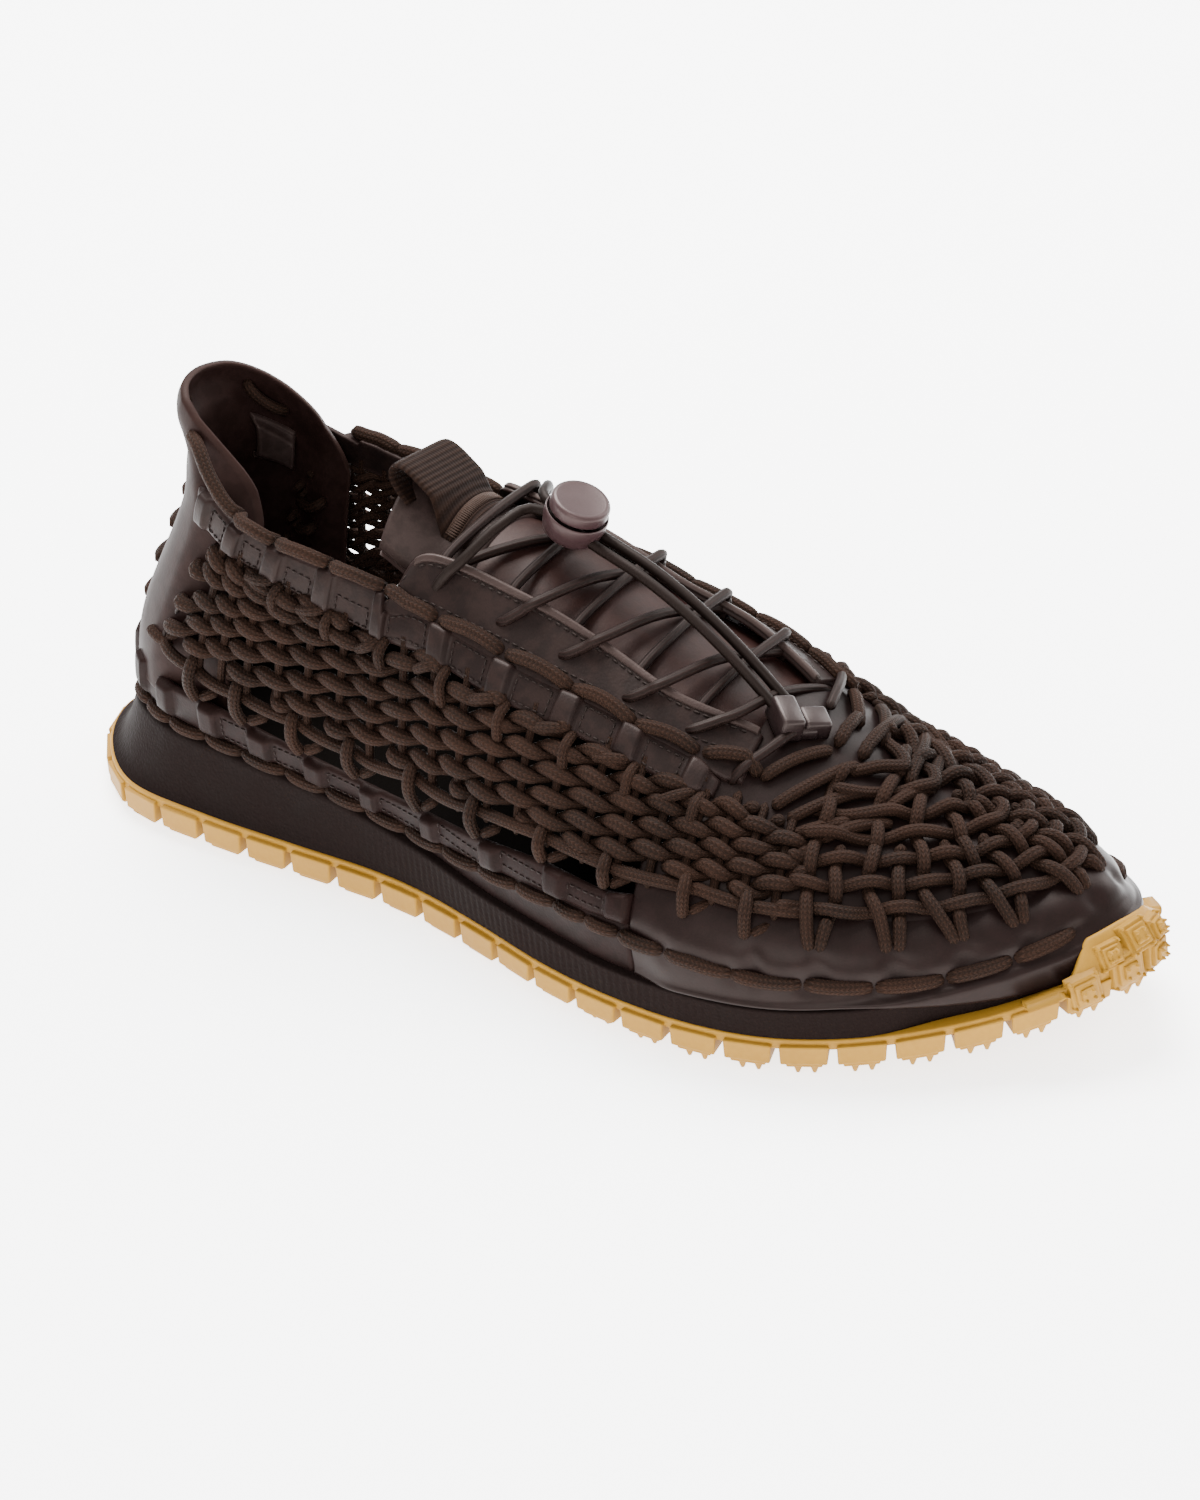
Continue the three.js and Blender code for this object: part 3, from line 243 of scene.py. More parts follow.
def hermite(p1: Array, p2: Array, m1: Array, m2: Array, t: Values) -> Array:
    """Points at shares t of a curve from p1 to p2 that leaves along m1 and arrives along m2."""
    return (2 * p1 - 2 * p2 + m1 + m2) * t**3 + (-3 * p1 + 3 * p2 - 2 * m1 - m2) * t**2 + m1 * t + p1


def cubic(p0: Array, p1: Array, p2: Array, p3: Array, t: Array) -> Array:
    """Points at shares t of a Catmull-Rom curve's stretch between its two middle knots."""
    return hermite(p1, p2, 0.5 * (p2 - p0), 0.5 * (p3 - p1), t[:, None])


def closed_curve(points: Array, t: Array) -> Array:
    """Points of a closed smooth curve.

    Args:
        points: Knots that it goes through.
        t: Shares of its round.

    Returns:
        A point for each share.
    """
    n = len(points)
    p = np.mod(np.asarray(t, float), 1.0) * n
    i = np.floor(p).astype(int) % n
    return cubic(points[i - 1], points[i], points[(i + 1) % n], points[(i + 2) % n], p - np.floor(p))


def open_curve(points: Array, t: Array) -> Array:
    """Points of an open smooth curve.

    Args:
        points: Knots that it goes through.
        t: Shares of the way from its start to its end.

    Returns:
        A point for each share.
    """
    n = len(points) - 1
    full = np.vstack([2 * points[0] - points[1], points, 2 * points[-1] - points[-2]])
    p = np.clip(np.asarray(t, float), 0, 1) * n
    i = np.minimum(np.floor(p).astype(int), n - 1)
    return cubic(full[i], full[i + 1], full[i + 2], full[i + 3], p - i)


def run_of(points: Array) -> Array:
    """Length along a line of points at each of them."""
    return np.concatenate([[0.0], np.cumsum(np.linalg.norm(np.diff(points, axis=0), axis=1))])


def reading(goal: Array, run: Array, points: Array) -> Array:
    """Points at lengths goal along a line, with run the length at each of its points."""
    return np.column_stack([np.interp(goal, run, points[:, k]) for k in range(points.shape[1])])


def even(points: Array, step: float) -> Array:
    """A line of points laid again at an even spacing.

    Args:
        points: Points of the line; only the first three numbers of each count for its length.
        step: Spacing wanted, in the line's own units.

    Returns:
        The points at that spacing, with both ends kept.
    """
    run = run_of(points[:, :3])
    goal = np.linspace(0, run[-1], max(3, int(round(run[-1] / step)) + 1))
    return reading(goal, run, points)


def through(knots: Knots, step: float) -> Array:
    """An even smooth line through knots."""
    knots = np.asarray(knots, float)
    return even(open_curve(knots, np.linspace(0, 1, 20 * (len(knots) - 1) + 1)), step)


def sole_ring(c: Array, inset: Values = 0.0) -> Array:
    """Points of the sole's outline on the ground.

    Args:
        c: Columns.
        inset: Distance that the outline is drawn in.

    Returns:
        Their x and y.
    """
    r = SOLE_ROWS
    ring = np.vstack([np.stack([r[:, 0], -r[:, 1]], 1), np.stack([r[:, 0], r[:, 2]], 1)[1:-1][::-1]])
    p = closed_curve(ring, c / COLUMNS)
    d = closed_curve(ring, (c + .05) / COLUMNS) - closed_curve(ring, (c - .05) / COLUMNS)
    out = unit(np.stack([d[:, 1], -d[:, 0]], 1))
    return p - out * np.broadcast_to(inset, (len(p),))[:, None]


class Last:
    """The surface of the last: a point for each column and level, with its outward direction."""

    def __init__(self, per_column: int = 8, levels: int = 121) -> None:
        """Lays the surface out on a fine grid.

        Args:
            per_column: Grid lines for each column.
            levels: Grid lines from the sole to the collar or ridge.
        """
        r = LAST_ROWS
        e = r[: THROAT_ROW + 1]
        self.foot = self._ring(r[:, 0], r[:, 1], r[:, 2], feather(r[:, 0]))
        self.belly = self._ring(r[:, 3], r[:, 4], r[:, 5], r[:, 6])
        self.shoulder = self._ring(r[:, 7], r[:, 8], r[:, 9], r[:, 10])
        self.throat = self._ring(e[:, 11], e[:, 12], e[:, 13], e[:, 14])
        self.ridge = np.stack([r[THROAT_ROW:, 11], r[THROAT_ROW:, 13], r[THROAT_ROW:, 14]], 1)
        self.per_column, self.levels = per_column, levels
        self.grid = self._ribs(np.arange(COLUMNS * per_column) / per_column, np.linspace(0, 1, levels))
        self.normal = self._normals()

    @staticmethod
    def _ring(x: Array, outer: Array, inner: Array, z: Array) -> Array:
        """A closed ring of points from a row per station."""
        return np.vstack([np.stack([x, -outer, z], 1), np.stack([x, inner, z], 1)[1:-1][::-1]])

    def _ribs(self, c: Array, levels: Array) -> Array:
        """Ribs from the sole to the collar or ridge.

        Args:
            c: Columns of the ribs.
            levels: Shares of each rib's length.

        Returns:
            Points by column and level.
        """
        t = c / COLUMNS
        from_heel = np.minimum(c, COLUMNS - c)
        foot, belly = closed_curve(self.foot, t), closed_curve(self.belly, t)
        shoulder, across = closed_curve(self.shoulder, t), closed_curve(self.shoulder, 1 - t)
        half = from_heel / (2 * THROAT_COLUMN)
        edge = closed_curve(self.throat, np.where(c <= TOE, half, 1 - half))
        over = from_heel >= THROAT_COLUMN
        edge[over] = open_curve(self.ridge, (from_heel[over] - THROAT_COLUMN) / (TOE - THROAT_COLUMN))
        turn = smoothstep(from_heel, THROAT_COLUMN - 6, THROAT_COLUMN)[:, None]
        onward = (2 * edge - shoulder) * (1 - turn) + across * turn
        knots = [2 * foot - belly, foot, belly, shoulder, edge, onward]
        steps, fine = 30, []
        for k in range(3):
            p0, p1, p2, p3 = knots[k: k + 4]
            d0, d1, d2 = (np.maximum(np.sum((b - a) ** 2, 1), 1e-12)[:, None] ** 0.25
                          for a, b in ((p0, p1), (p1, p2), (p2, p3)))
            m1 = ((p1 - p0) / d0 - (p2 - p0) / (d0 + d1) + (p2 - p1) / d1) * d1
            m2 = ((p2 - p1) / d1 - (p3 - p1) / (d1 + d2) + (p3 - p2) / d2) * d1
            fine += [hermite(p1, p2, m1, m2, n / steps) for n in range(steps + (k == 2))]
        runs = [(run_of(line), line) for line in np.stack(fine, 1)]
        ribs = np.stack([reading(levels * run[-1], run, line) for run, line in runs])
        near = smoothstep(2.2 - from_heel / 3, 0, 1.6)[:, None]
        ribs[:, :, 0] -= TAB_FLARE * near * bell(levels[None, :] - TAB_LEVEL, TAB_SPREAD)
        return ribs

    def _normals(self) -> Array:
        """Outward directions of the grid's points.

        Returns:
            Directions by column and level.
        """
        g, n = self.grid, len(self.grid)
        along = np.roll(g, -1, 0) - np.roll(g, 1, 0)
        up = np.empty_like(g)
        up[:, 1:-1] = g[:, 2:] - g[:, :-2]
        up[:, 0], up[:, -1] = g[:, 1] - g[:, 0], g[:, -1] - g[:, -2]
        c = np.arange(n) / self.per_column
        over = np.minimum(c, COLUMNS - c) > THROAT_COLUMN
        normal = np.cross(along, up)
        normal[over, -1] = (0.25, 0, 1)
        return unit(normal)

    def _mix(self, grid: Array, c: Array, v: Array) -> Array:
        """Values of a grid between its lines.

        Args:
            grid: Values by column and level.
            c: Columns.
            v: Levels.

        Returns:
            A value for each column and level.
        """
        n = len(grid)
        a, b = np.mod(c, COLUMNS) * self.per_column, np.clip(v, 0, 1) * (self.levels - 1)
        i, j = np.floor(a).astype(int) % n, np.minimum(np.floor(b).astype(int), self.levels - 2)
        s, t = (a - np.floor(a))[..., None], (b - j)[..., None]
        k = (i + 1) % n
        return (grid[i, j] * (1 - s) + grid[k, j] * s) * (1 - t) + (grid[i, j + 1] * (1 - s) + grid[k, j + 1] * s) * t

    def at(self, c: Values, v: Values, out: Values = 0.0) -> Array:
        """Points on or off the surface.

        Args:
            c: Columns.
            v: Levels; beyond 1 they go over the ridge and down the other side, or up from the collar, below 0
                straight down.
            out: Distance off the surface, in millimetres.

        Returns:
            Points in the shoe's coordinates.
        """
        c, v, out = np.broadcast_arrays(np.asarray(c, float), np.asarray(v, float), np.asarray(out, float))
        over = (v > 1) & (np.abs(np.mod(c, COLUMNS) - TOE) <= TOE - THROAT_COLUMN)
        c, v = np.where(over, COLUMNS - c, c), np.where(over, 2 - v, v)
        p = self._mix(self.grid, c, v) + unit(self._mix(self.normal, c, v)) * out[..., None]
        p[..., 2] += (np.minimum(v, 0) + np.maximum(v - 1, 0)) * BELOW
        return p

    def outward(self, c: Values, v: Values) -> Array:
        """Outward directions at columns c and levels v."""
        return self.at(c, v, 1.0) - self.at(c, v, 0.0)

    def trail(self, knots: Knots, out: Sequence[float] | float = 0.0, step: float = 1.2) -> Array:
        """A smooth line on the surface.

        Args:
            knots: Column and level of each knot.
            out: Distance off the surface, at all knots or each.
            step: Spacing of the line's points, in millimetres.

        Returns:
            Column, level and distance of each point.
        """
        knots = np.asarray(knots, float)
        full = np.column_stack([knots, np.broadcast_to(np.asarray(out, float), (len(knots),))])
        dense = open_curve(full, np.linspace(0, 1, 16 * (len(full) - 1) + 1))
        return self.spaced(dense, step)

    def spaced(self, line: Array, step: float) -> Array:
        """A line of column, level and distance laid again at a spacing in millimetres."""
        return even(np.column_stack([self.at(*line.T), line]), step)[:, 3:]


class Pattern(Enum):
    """What gives a finish its detail."""

    BRAID = "braid"
    LEATHER = "leather"
    FOAM = "foam"
    RUBBER = "rubber"
    ELASTIC = "elastic"
    PLASTIC = "plastic"
    WEBBING = "webbing"
    THREAD = "thread"
    FLOOR = "floor"


def linear(colour: Colour) -> tuple[float, float, float, float]:
    """A colour as the shader's own numbers.

    Args:
        colour: Red, green and blue from 0 to 255.

    Returns:
        The same with alpha, each from 0 to 1.
    """
    parts = [x / 255 for x in colour]
    r, g, b = (x / 12.92 if x < 0.04045 else ((x + 0.055) / 1.055) ** 2.4 for x in parts)
    return r, g, b, 1.0


class Nodes:
    """Short ways to make a material's nodes."""

    def __init__(self, name: str) -> None:
        """Makes a material with one shader.

        Args:
            name: The material's name.
        """
        self.material = bpy.data.materials.new(name)
        self.material.use_nodes = True
        self.tree = self.material.node_tree
        self.shader = self.tree.nodes["Principled BSDF"]

    def new(self, kind: str, **inputs: object) -> bpy.types.Node:
        """A new node of a kind, with sockets set or linked by name.

        Args:
            kind: The node's type without the word ShaderNode.
            inputs: Values or sockets for its inputs, i0, i1 and so on by number; names starting with _ are the
                node's own settings.

        Returns:
            The node.
        """
        node = self.tree.nodes.new("ShaderNode" + kind)
        for name, value in inputs.items():
            if name.startswith("_"):
                setattr(node, name[1:], value)
        for name, value in inputs.items():
            if not name.startswith("_"):
                self.put(node.inputs[int(name[1:]) if name[0] == "i" and name[1:].isdigit() else name], value)
        return node

    def put(self, socket: Socket, value: object) -> None:
        """Sets or links a socket.

        Args:
            socket: The input to set.
            value: A value, or the output that it is linked to.
        """
        if isinstance(value, Socket):
            self.tree.links.new(value, socket)
        else:
            socket.default_value = value

    def sum(self, kind: str, a: object, b: object = 0.0, c: object = 0.0) -> Socket:
        """The result of a sum of one kind on numbers or sockets."""
        return self.new("Math", _operation=kind, i0=a, i1=b, i2=c).outputs[0]

    def ramp(self, value: object, low: float, high: float, first: float = 0.0, last: float = 1.0) -> Socket:
        """value mapped from low..high to first..last."""
        return self.new("MapRange", i0=value, i1=low, i2=high, i3=first, i4=last).outputs[0]

    def mix(self, share: object, a: object, b: object) -> Socket:
        """A colour between a and b."""
        return self.new("Mix", _data_type="RGBA", i0=share, i6=a, i7=b).outputs[2]

    def noise(self, where: object, size: float, detail: float = 2.0) -> Socket:
        """Soft noise with lumps of about a size in millimetres."""
        return self.new("TexNoise", Vector=where, Scale=1 / (size * MM), Detail=detail).outputs["Fac"]

    def cells(self, where: object, size: float) -> Socket:
        """Distance from the middle of cells of about a size in millimetres."""
        return self.new("TexVoronoi", Vector=where, Scale=1 / (size * MM)).outputs["Distance"]

    def bump(self, height: object, depth: float, before: object | None = None) -> Socket:
        """A bump.

        Args:
            height: The relief, from 0 to 1.
            depth: Its depth in millimetres.
            before: A bump that it lies over, or None.

        Returns:
            The bump's direction.
        """
        node = self.new("Bump", Strength=1.0, Distance=depth * MM, Height=height)
        if before is not None:
            self.put(node.inputs["Normal"], before)
        return node.outputs[0]


@dataclass(frozen=True)
class Finish:
    """A finish: two colours, a pattern and how it shines."""

    name: str
    base: Colour
    other: Colour
    pattern: Pattern
    rough: tuple[float, float]
    grain: float
    depth: float
    coat: float = 0.0
    coat_rough: float = 0.35
    shine: float = 0.5
    edge: Colour | None = None

    def material(self) -> bpy.types.Material:
        """The finish's material, made once."""
        found = bpy.data.materials.get(self.name)
        return found if found is not None else self._make()

    def _make(self) -> bpy.types.Material:
        """Makes the material's nodes.

        Returns:
            The material.
        """
        n = Nodes(self.name)
        where = n.new("TexCoord").outputs["Object"]
        lay = n.new("SeparateXYZ", Vector=n.new("Attribute", _attribute_name="lay").outputs["Vector"]).outputs
        broad = n.noise(where, self.grain * 14, 3.0)
        height, share = self._height(n, where, lay)
        tone = n.ramp(n.sum("ADD", n.sum("MULTIPLY", broad, 0.55), n.sum("MULTIPLY", share, 0.45)), 0.25, 0.75)
        colour = n.mix(tone, linear(self.base), linear(self.other))
        if self.edge is not None:
            worn = n.sum("MULTIPLY", n.ramp(lay[0], 0.0, 1.6, 1.0, 0.0), n.ramp(broad, 0.3, 0.7, 0.5, 1.0))
            colour = n.mix(worn, colour, linear(self.edge))
        n.put(n.shader.inputs["Base Color"], colour)
        n.put(n.shader.inputs["Roughness"], n.ramp(broad, 0.3, 0.7, *self.rough))
        first = n.bump(broad, self.depth * 1.5) if self.pattern is not Pattern.FLOOR else None
        n.put(n.shader.inputs["Normal"], n.bump(height, self.depth, first))
        n.shader.inputs["Specular Tint"].default_value = (1.0, 0.82, 0.75, 1.0)
        for socket, value in (("Coat Weight", self.coat), ("Coat Roughness", self.coat_rough),
                              ("Specular IOR Level", self.shine)):
            n.shader.inputs[socket].default_value = value
        return n.material

    def _height(self, n: Nodes, where: Socket, lay: Sequence[Socket]) -> tuple[Socket, Socket]:
        """Relief of the pattern and the share of its second colour.

        Args:
            n: The material's nodes.
            where: Object coordinates.
            lay: The piece's own measure: along it, then two numbers across it.

        Returns:
            Height from 0 to 1, and share from 0 to 1.
        """
        fine = n.noise(where, self.grain, 4.0)
        if self.pattern in (Pattern.BRAID, Pattern.ELASTIC, Pattern.THREAD):
            strands = {Pattern.BRAID: 9.0, Pattern.ELASTIC: 8.0, Pattern.THREAD: 1.0}[self.pattern]
            turn = n.sum("DIVIDE", n.sum("ARCTAN2", lay[2], lay[1]), 2 * math.pi / strands)
            chevron = n.sum("PINGPONG", turn, 0.5)
            if self.pattern is Pattern.ELASTIC:
                ridge = n.ramp(chevron, 0.05, 0.4)
                return n.sum("ADD", ridge, n.sum("MULTIPLY", fine, 0.2)), ridge
            slant = n.sum("MULTIPLY", chevron, 1.2)
            wave = n.sum("MULTIPLY", n.sum("ADD", n.sum("DIVIDE", lay[0], self.grain), slant), 2 * math.pi)
            plait = n.ramp(n.sum("SINE", wave), -1.0, 1.0, 0.35, 1.0)
            height = n.sum("MULTIPLY", plait, n.ramp(chevron, 0.0, 0.4, 0.25, 1.0))
            return n.sum("ADD", height, n.sum("MULTIPLY", fine, 0.2)), height
        if self.pattern is Pattern.WEBBING:
            rib = n.sum("PINGPONG", n.sum("DIVIDE", lay[0], self.grain), 0.5)
            cross = n.sum("PINGPONG", n.sum("DIVIDE", lay[1], self.grain * 0.7), 0.5)
            height = n.sum("ADD", n.ramp(rib, 0.08, 0.42), n.sum("MULTIPLY", cross, 0.5))
            return height, n.ramp(rib, 0.1, 0.4)
        pebble = n.ramp(n.cells(where, self.grain), 0.05, 0.75, 1.0, 0.0)
        if self.pattern is Pattern.LEATHER:
            crease = n.ramp(n.noise(where, self.grain * 5, 5.0), 0.42, 0.58)
            return n.sum("ADD", n.sum("MULTIPLY", pebble, 0.7), n.sum("MULTIPLY", crease, 0.5)), crease
        return n.sum("ADD", n.sum("MULTIPLY", pebble, 0.5), n.sum("MULTIPLY", fine, 0.6)), fine


BRAIDED_CORD = Finish("braided_cord", (13, 7, 4), (41, 26, 19), Pattern.BRAID, (0.7, 0.82), 1.1, 0.3, shine=0.1)
STRAP_LEATHER = Finish("strap_leather", (18, 11, 10), (26, 17, 15), Pattern.LEATHER, (0.42, 0.54), 0.75, 0.03,
                       coat=0.02, coat_rough=0.22, shine=0.12, edge=(36, 25, 23))
# A darker copy of the strap leather for the foxing strap and its footing: painted shade on their low upright faces.
FOOT_LEATHER_SHADED = Finish("foot_leather_shaded", (16, 8, 7), (22, 12, 11), Pattern.LEATHER, (0.48, 0.6), 0.75, 0.03,
                      shine=0.07, edge=(29, 18, 16))
COUNTER_LEATHER = Finish("counter_leather", (25, 14, 12), (31, 19, 17), Pattern.LEATHER, (0.52, 0.6), 0.75, 0.02,
                         shine=0.07, edge=(40, 27, 24))
RAND_LEATHER = Finish("rand_leather", (17, 9, 8), (20, 11, 10), Pattern.LEATHER, (0.38, 0.42), 0.7, 0.012,
                      coat=0.02, coat_rough=0.22, shine=0.12, edge=(18, 10, 9))
STRIP_LEATHER = Finish("strip_leather", (29, 20, 18), (38, 28, 26), Pattern.LEATHER, (0.44, 0.56), 0.7, 0.04,
                       coat=0.02, shine=0.18, edge=(50, 39, 36))
TONGUE_LEATHER = Finish("tongue_hide", (27, 12, 10), (33, 16, 13), Pattern.LEATHER, (0.48, 0.56), 0.7, 0.02,
                        coat=0.02, shine=0.17, edge=(38, 25, 22))
PULL_WEBBING = Finish("pull_webbing", (19, 11, 8), (29, 18, 13), Pattern.WEBBING, (0.75, 0.85), 1.5, 0.3, shine=0.08)
ROUND_ELASTIC = Finish("round_elastic", (13, 7, 5), (24, 13, 11), Pattern.ELASTIC, (0.5, 0.62), 0.8, 0.06, shine=0.13)
MOULDED_PLASTIC = Finish("moulded_plastic", (40, 26, 27), (50, 35, 36), Pattern.PLASTIC, (0.36, 0.46), 0.5, 0.015,
                         coat=0.05, shine=0.3)
HOOK_PLASTIC = Finish("hook_plastic", (22, 14, 14), (30, 21, 21), Pattern.PLASTIC, (0.34, 0.44), 0.5, 0.015,
                      coat=0.05, shine=0.3)
SOLE_FOAM = Finish("sole_foam", (12, 7, 6), (20, 13, 12), Pattern.FOAM, (0.7, 0.82), 0.9, 0.14, shine=0.05)
GUM_RUBBER = Finish("gum_tread", (136, 98, 27), (150, 111, 36), Pattern.RUBBER, (0.48, 0.6), 1.4, 0.03, shine=0.2)
INSOLE_CLOTH = Finish("insole_cloth", (5, 4, 3), (9, 7, 6), Pattern.FOAM, (0.85, 0.95), 0.8, 0.05, shine=0.03)
SEAM_THREAD = Finish("seam_thread", (14, 9, 8), (28, 20, 18), Pattern.THREAD, (0.6, 0.7), 0.6, 0.05, shine=0.25)
TACK_THREAD = Finish("tack_thread", (33, 20, 14), (50, 34, 24), Pattern.THREAD, (0.6, 0.7), 0.6, 0.05, shine=0.25)
PALE_FLOOR = Finish("pale_floor", (252, 252, 252), (255, 255, 255), Pattern.FLOOR, (0.7, 0.8), 4.0, 0.01, shine=0.2)


def stand(name: str, data: bpy.types.ID) -> Piece:
    """Puts an object in the scene.

    Args:
        name: Its name.
        data: The mesh, curve, camera or light that it shows.

    Returns:
        The object.
    """
    piece = bpy.data.objects.new(name, data)
    bpy.context.scene.collection.objects.link(piece)
    return piece


class Cut:
    """Vertices and faces of one piece, gathered before its mesh is made."""

    def __init__(self) -> None:
        """Starts with nothing."""
        self.points: list[Array] = []
        self.lay: list[Array] = []
        self.faces: list[tuple[int, ...]] = []
        self.count = 0

    def add(self, points: Array, lay: Array, faces: Array | list[tuple[int, ...]]) -> None:
        """Adds vertices and faces.

        Args:
            points: The vertices.
            lay: Their measure.
            faces: Faces that number the new vertices from 0.
        """
        self.points.append(points.reshape(-1, 3))
        self.lay.append(np.broadcast_to(lay, points.shape).reshape(-1, 3))
        self.faces += [tuple(int(i) + self.count for i in f) for f in faces]
        self.count += len(self.points[-1])

    def grid(self, points: Array, lay: Array | None = None, around: bool = False, ring: bool = False,
             caps: bool = False) -> None:
        """Adds a grid of points as faces.

        Args:
            points: Points by row and place in the row.
            lay: Their measure, or None for nothing to show.
            around: Whether each row closes on itself.
            ring: Whether the last row joins the first.
            caps: Whether closed rows at the two ends are filled.
        """
        a, b = points.shape[:2]
        rows = np.arange(a if ring else a - 1)
        cols = np.arange(b if around else b - 1)
        i, j = (x.ravel() for x in np.meshgrid(rows, cols, indexing="ij"))
        k, m = (i + 1) % a, (j + 1) % b
        faces = np.stack([i * b + j, k * b + j, k * b + m, i * b + m], 1).tolist()
        if caps:
            faces += [tuple(range(b)), tuple(range(a * b - 1, (a - 1) * b - 1, -1))]
        self.add(points, np.full_like(points, PLAIN) if lay is None else lay, faces)

    def shell(self, top: Array, back: Array, lay: Array | None, caps: bool = True) -> None:
        """Adds a sheet's face and back, given by row and place in the row, as one closed grid."""
        lay = None if lay is None else np.concatenate([lay, lay[:, ::-1]], 1)
        self.grid(np.concatenate([top, back[:, ::-1]], 1), lay, around=True, caps=caps)

    def tube(self, path: Array, radius: Values, up: Array | Sequence[float], sides: int = 8,
             flat: float = 1.0, round_ends: bool = True) -> None:
        """Adds a cord along a path.

        Args:
            path: Points of its middle, evenly spaced, in millimetres.
            radius: Its radius, at all points or each.
            up: A direction across the cord at all points or each.
            sides: Faces round it.
            flat: Share of the radius kept along up.
            round_ends: Whether its ends close in like a dome.
        """
        run = run_of(path)
        r = np.broadcast_to(np.asarray(radius, float), run.shape).copy()
        if round_ends:
            near = np.minimum(run, run[-1] - run) / np.maximum(r, 1e-6)
            r *= np.sqrt(np.clip(1 - (1 - np.clip(near, 0.06, 1)) ** 2, 0, 1))
        t = unit(np.gradient(path, axis=0))
        side = unit(np.cross(t, np.broadcast_to(np.asarray(up, float), path.shape)))
        top = np.cross(side, t)
        a = np.arange(sides) * 2 * np.pi / sides
        across = np.cos(a)[None, :, None] * side[:, None] + flat * np.sin(a)[None, :, None] * top[:, None]
        lay = np.stack(np.broadcast_arrays(run[:, None], np.cos(a), np.sin(a)), 2)
        self.grid(path[:, None] + r[:, None, None] * across, lay, around=True, caps=True)

    def block(self, low: Array, high: Array) -> None:
        """Adds a solid between two four-cornered faces."""
        faces = [(3, 2, 1, 0), (4, 5, 6, 7)] + [(k, (k + 1) % 4, (k + 1) % 4 + 4, k + 4) for k in range(4)]
        self.add(np.vstack([low, high]), np.full((8, 3), PLAIN), faces)

    def lathe(self, profile: Array, place: Array, sides: int = 48) -> None:
        """Adds a turned solid.

        Args:
            profile: Radius and height of each point of its section, from the axis to the axis.
            place: Rows of the turned solid's three axes, then its foot.
            sides: Faces round it.
        """
        a = np.arange(sides) * 2 * np.pi / sides
        r, z = profile[:, :1], profile[:, 1:]
        local = np.stack([r * np.cos(a), r * np.sin(a), np.broadcast_to(z, (len(r), sides))], 2)
        self.grid(local @ place[:3] + place[3], None, around=True)

    def make(self, name: str, finish: Finish, slot: str, body: str = SHOE, replaces: Sequence[str] = (),
             smooth: bool = True, bevel: float = 0.0) -> Piece:
        """Makes the piece and rides it on its body.

        Args:
            name: The piece's name.
            finish: Its finish.
            slot: The material slot that it belongs to; not used.
            body: The body that it moves with.
            replaces: CAD nodes that it stands for.
            smooth: Whether its faces shade smoothly.
            bevel: Width of rounded edges in millimetres, or 0.

        Returns:
            The piece.
        """
        mesh = bpy.data.meshes.new(name)
        points = (np.vstack(self.points) + SHIFT) * MM
        mesh.from_pydata(points.tolist(), [], self.faces)
        lay = mesh.attributes.new("lay", "FLOAT_VECTOR", "POINT")
        lay.data.foreach_set("vector", np.vstack(self.lay).astype(np.float32).ravel())
        mesh.polygons.foreach_set("use_smooth", [smooth] * len(mesh.polygons))
        piece = stand(name, mesh)
        mesh.materials.append(finish.material())
        if bevel:
            rounding = piece.modifiers.new("edges", "BEVEL")
            rounding.width, rounding.segments, rounding.limit_method = bevel * MM, 2, "ANGLE"
            rounding.angle_limit = math.radians(35)
        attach(piece, body)
        if replaces:
            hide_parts(*replaces)
        LOG.info("%s: %d faces on %s", name, len(mesh.polygons), body)
        return piece


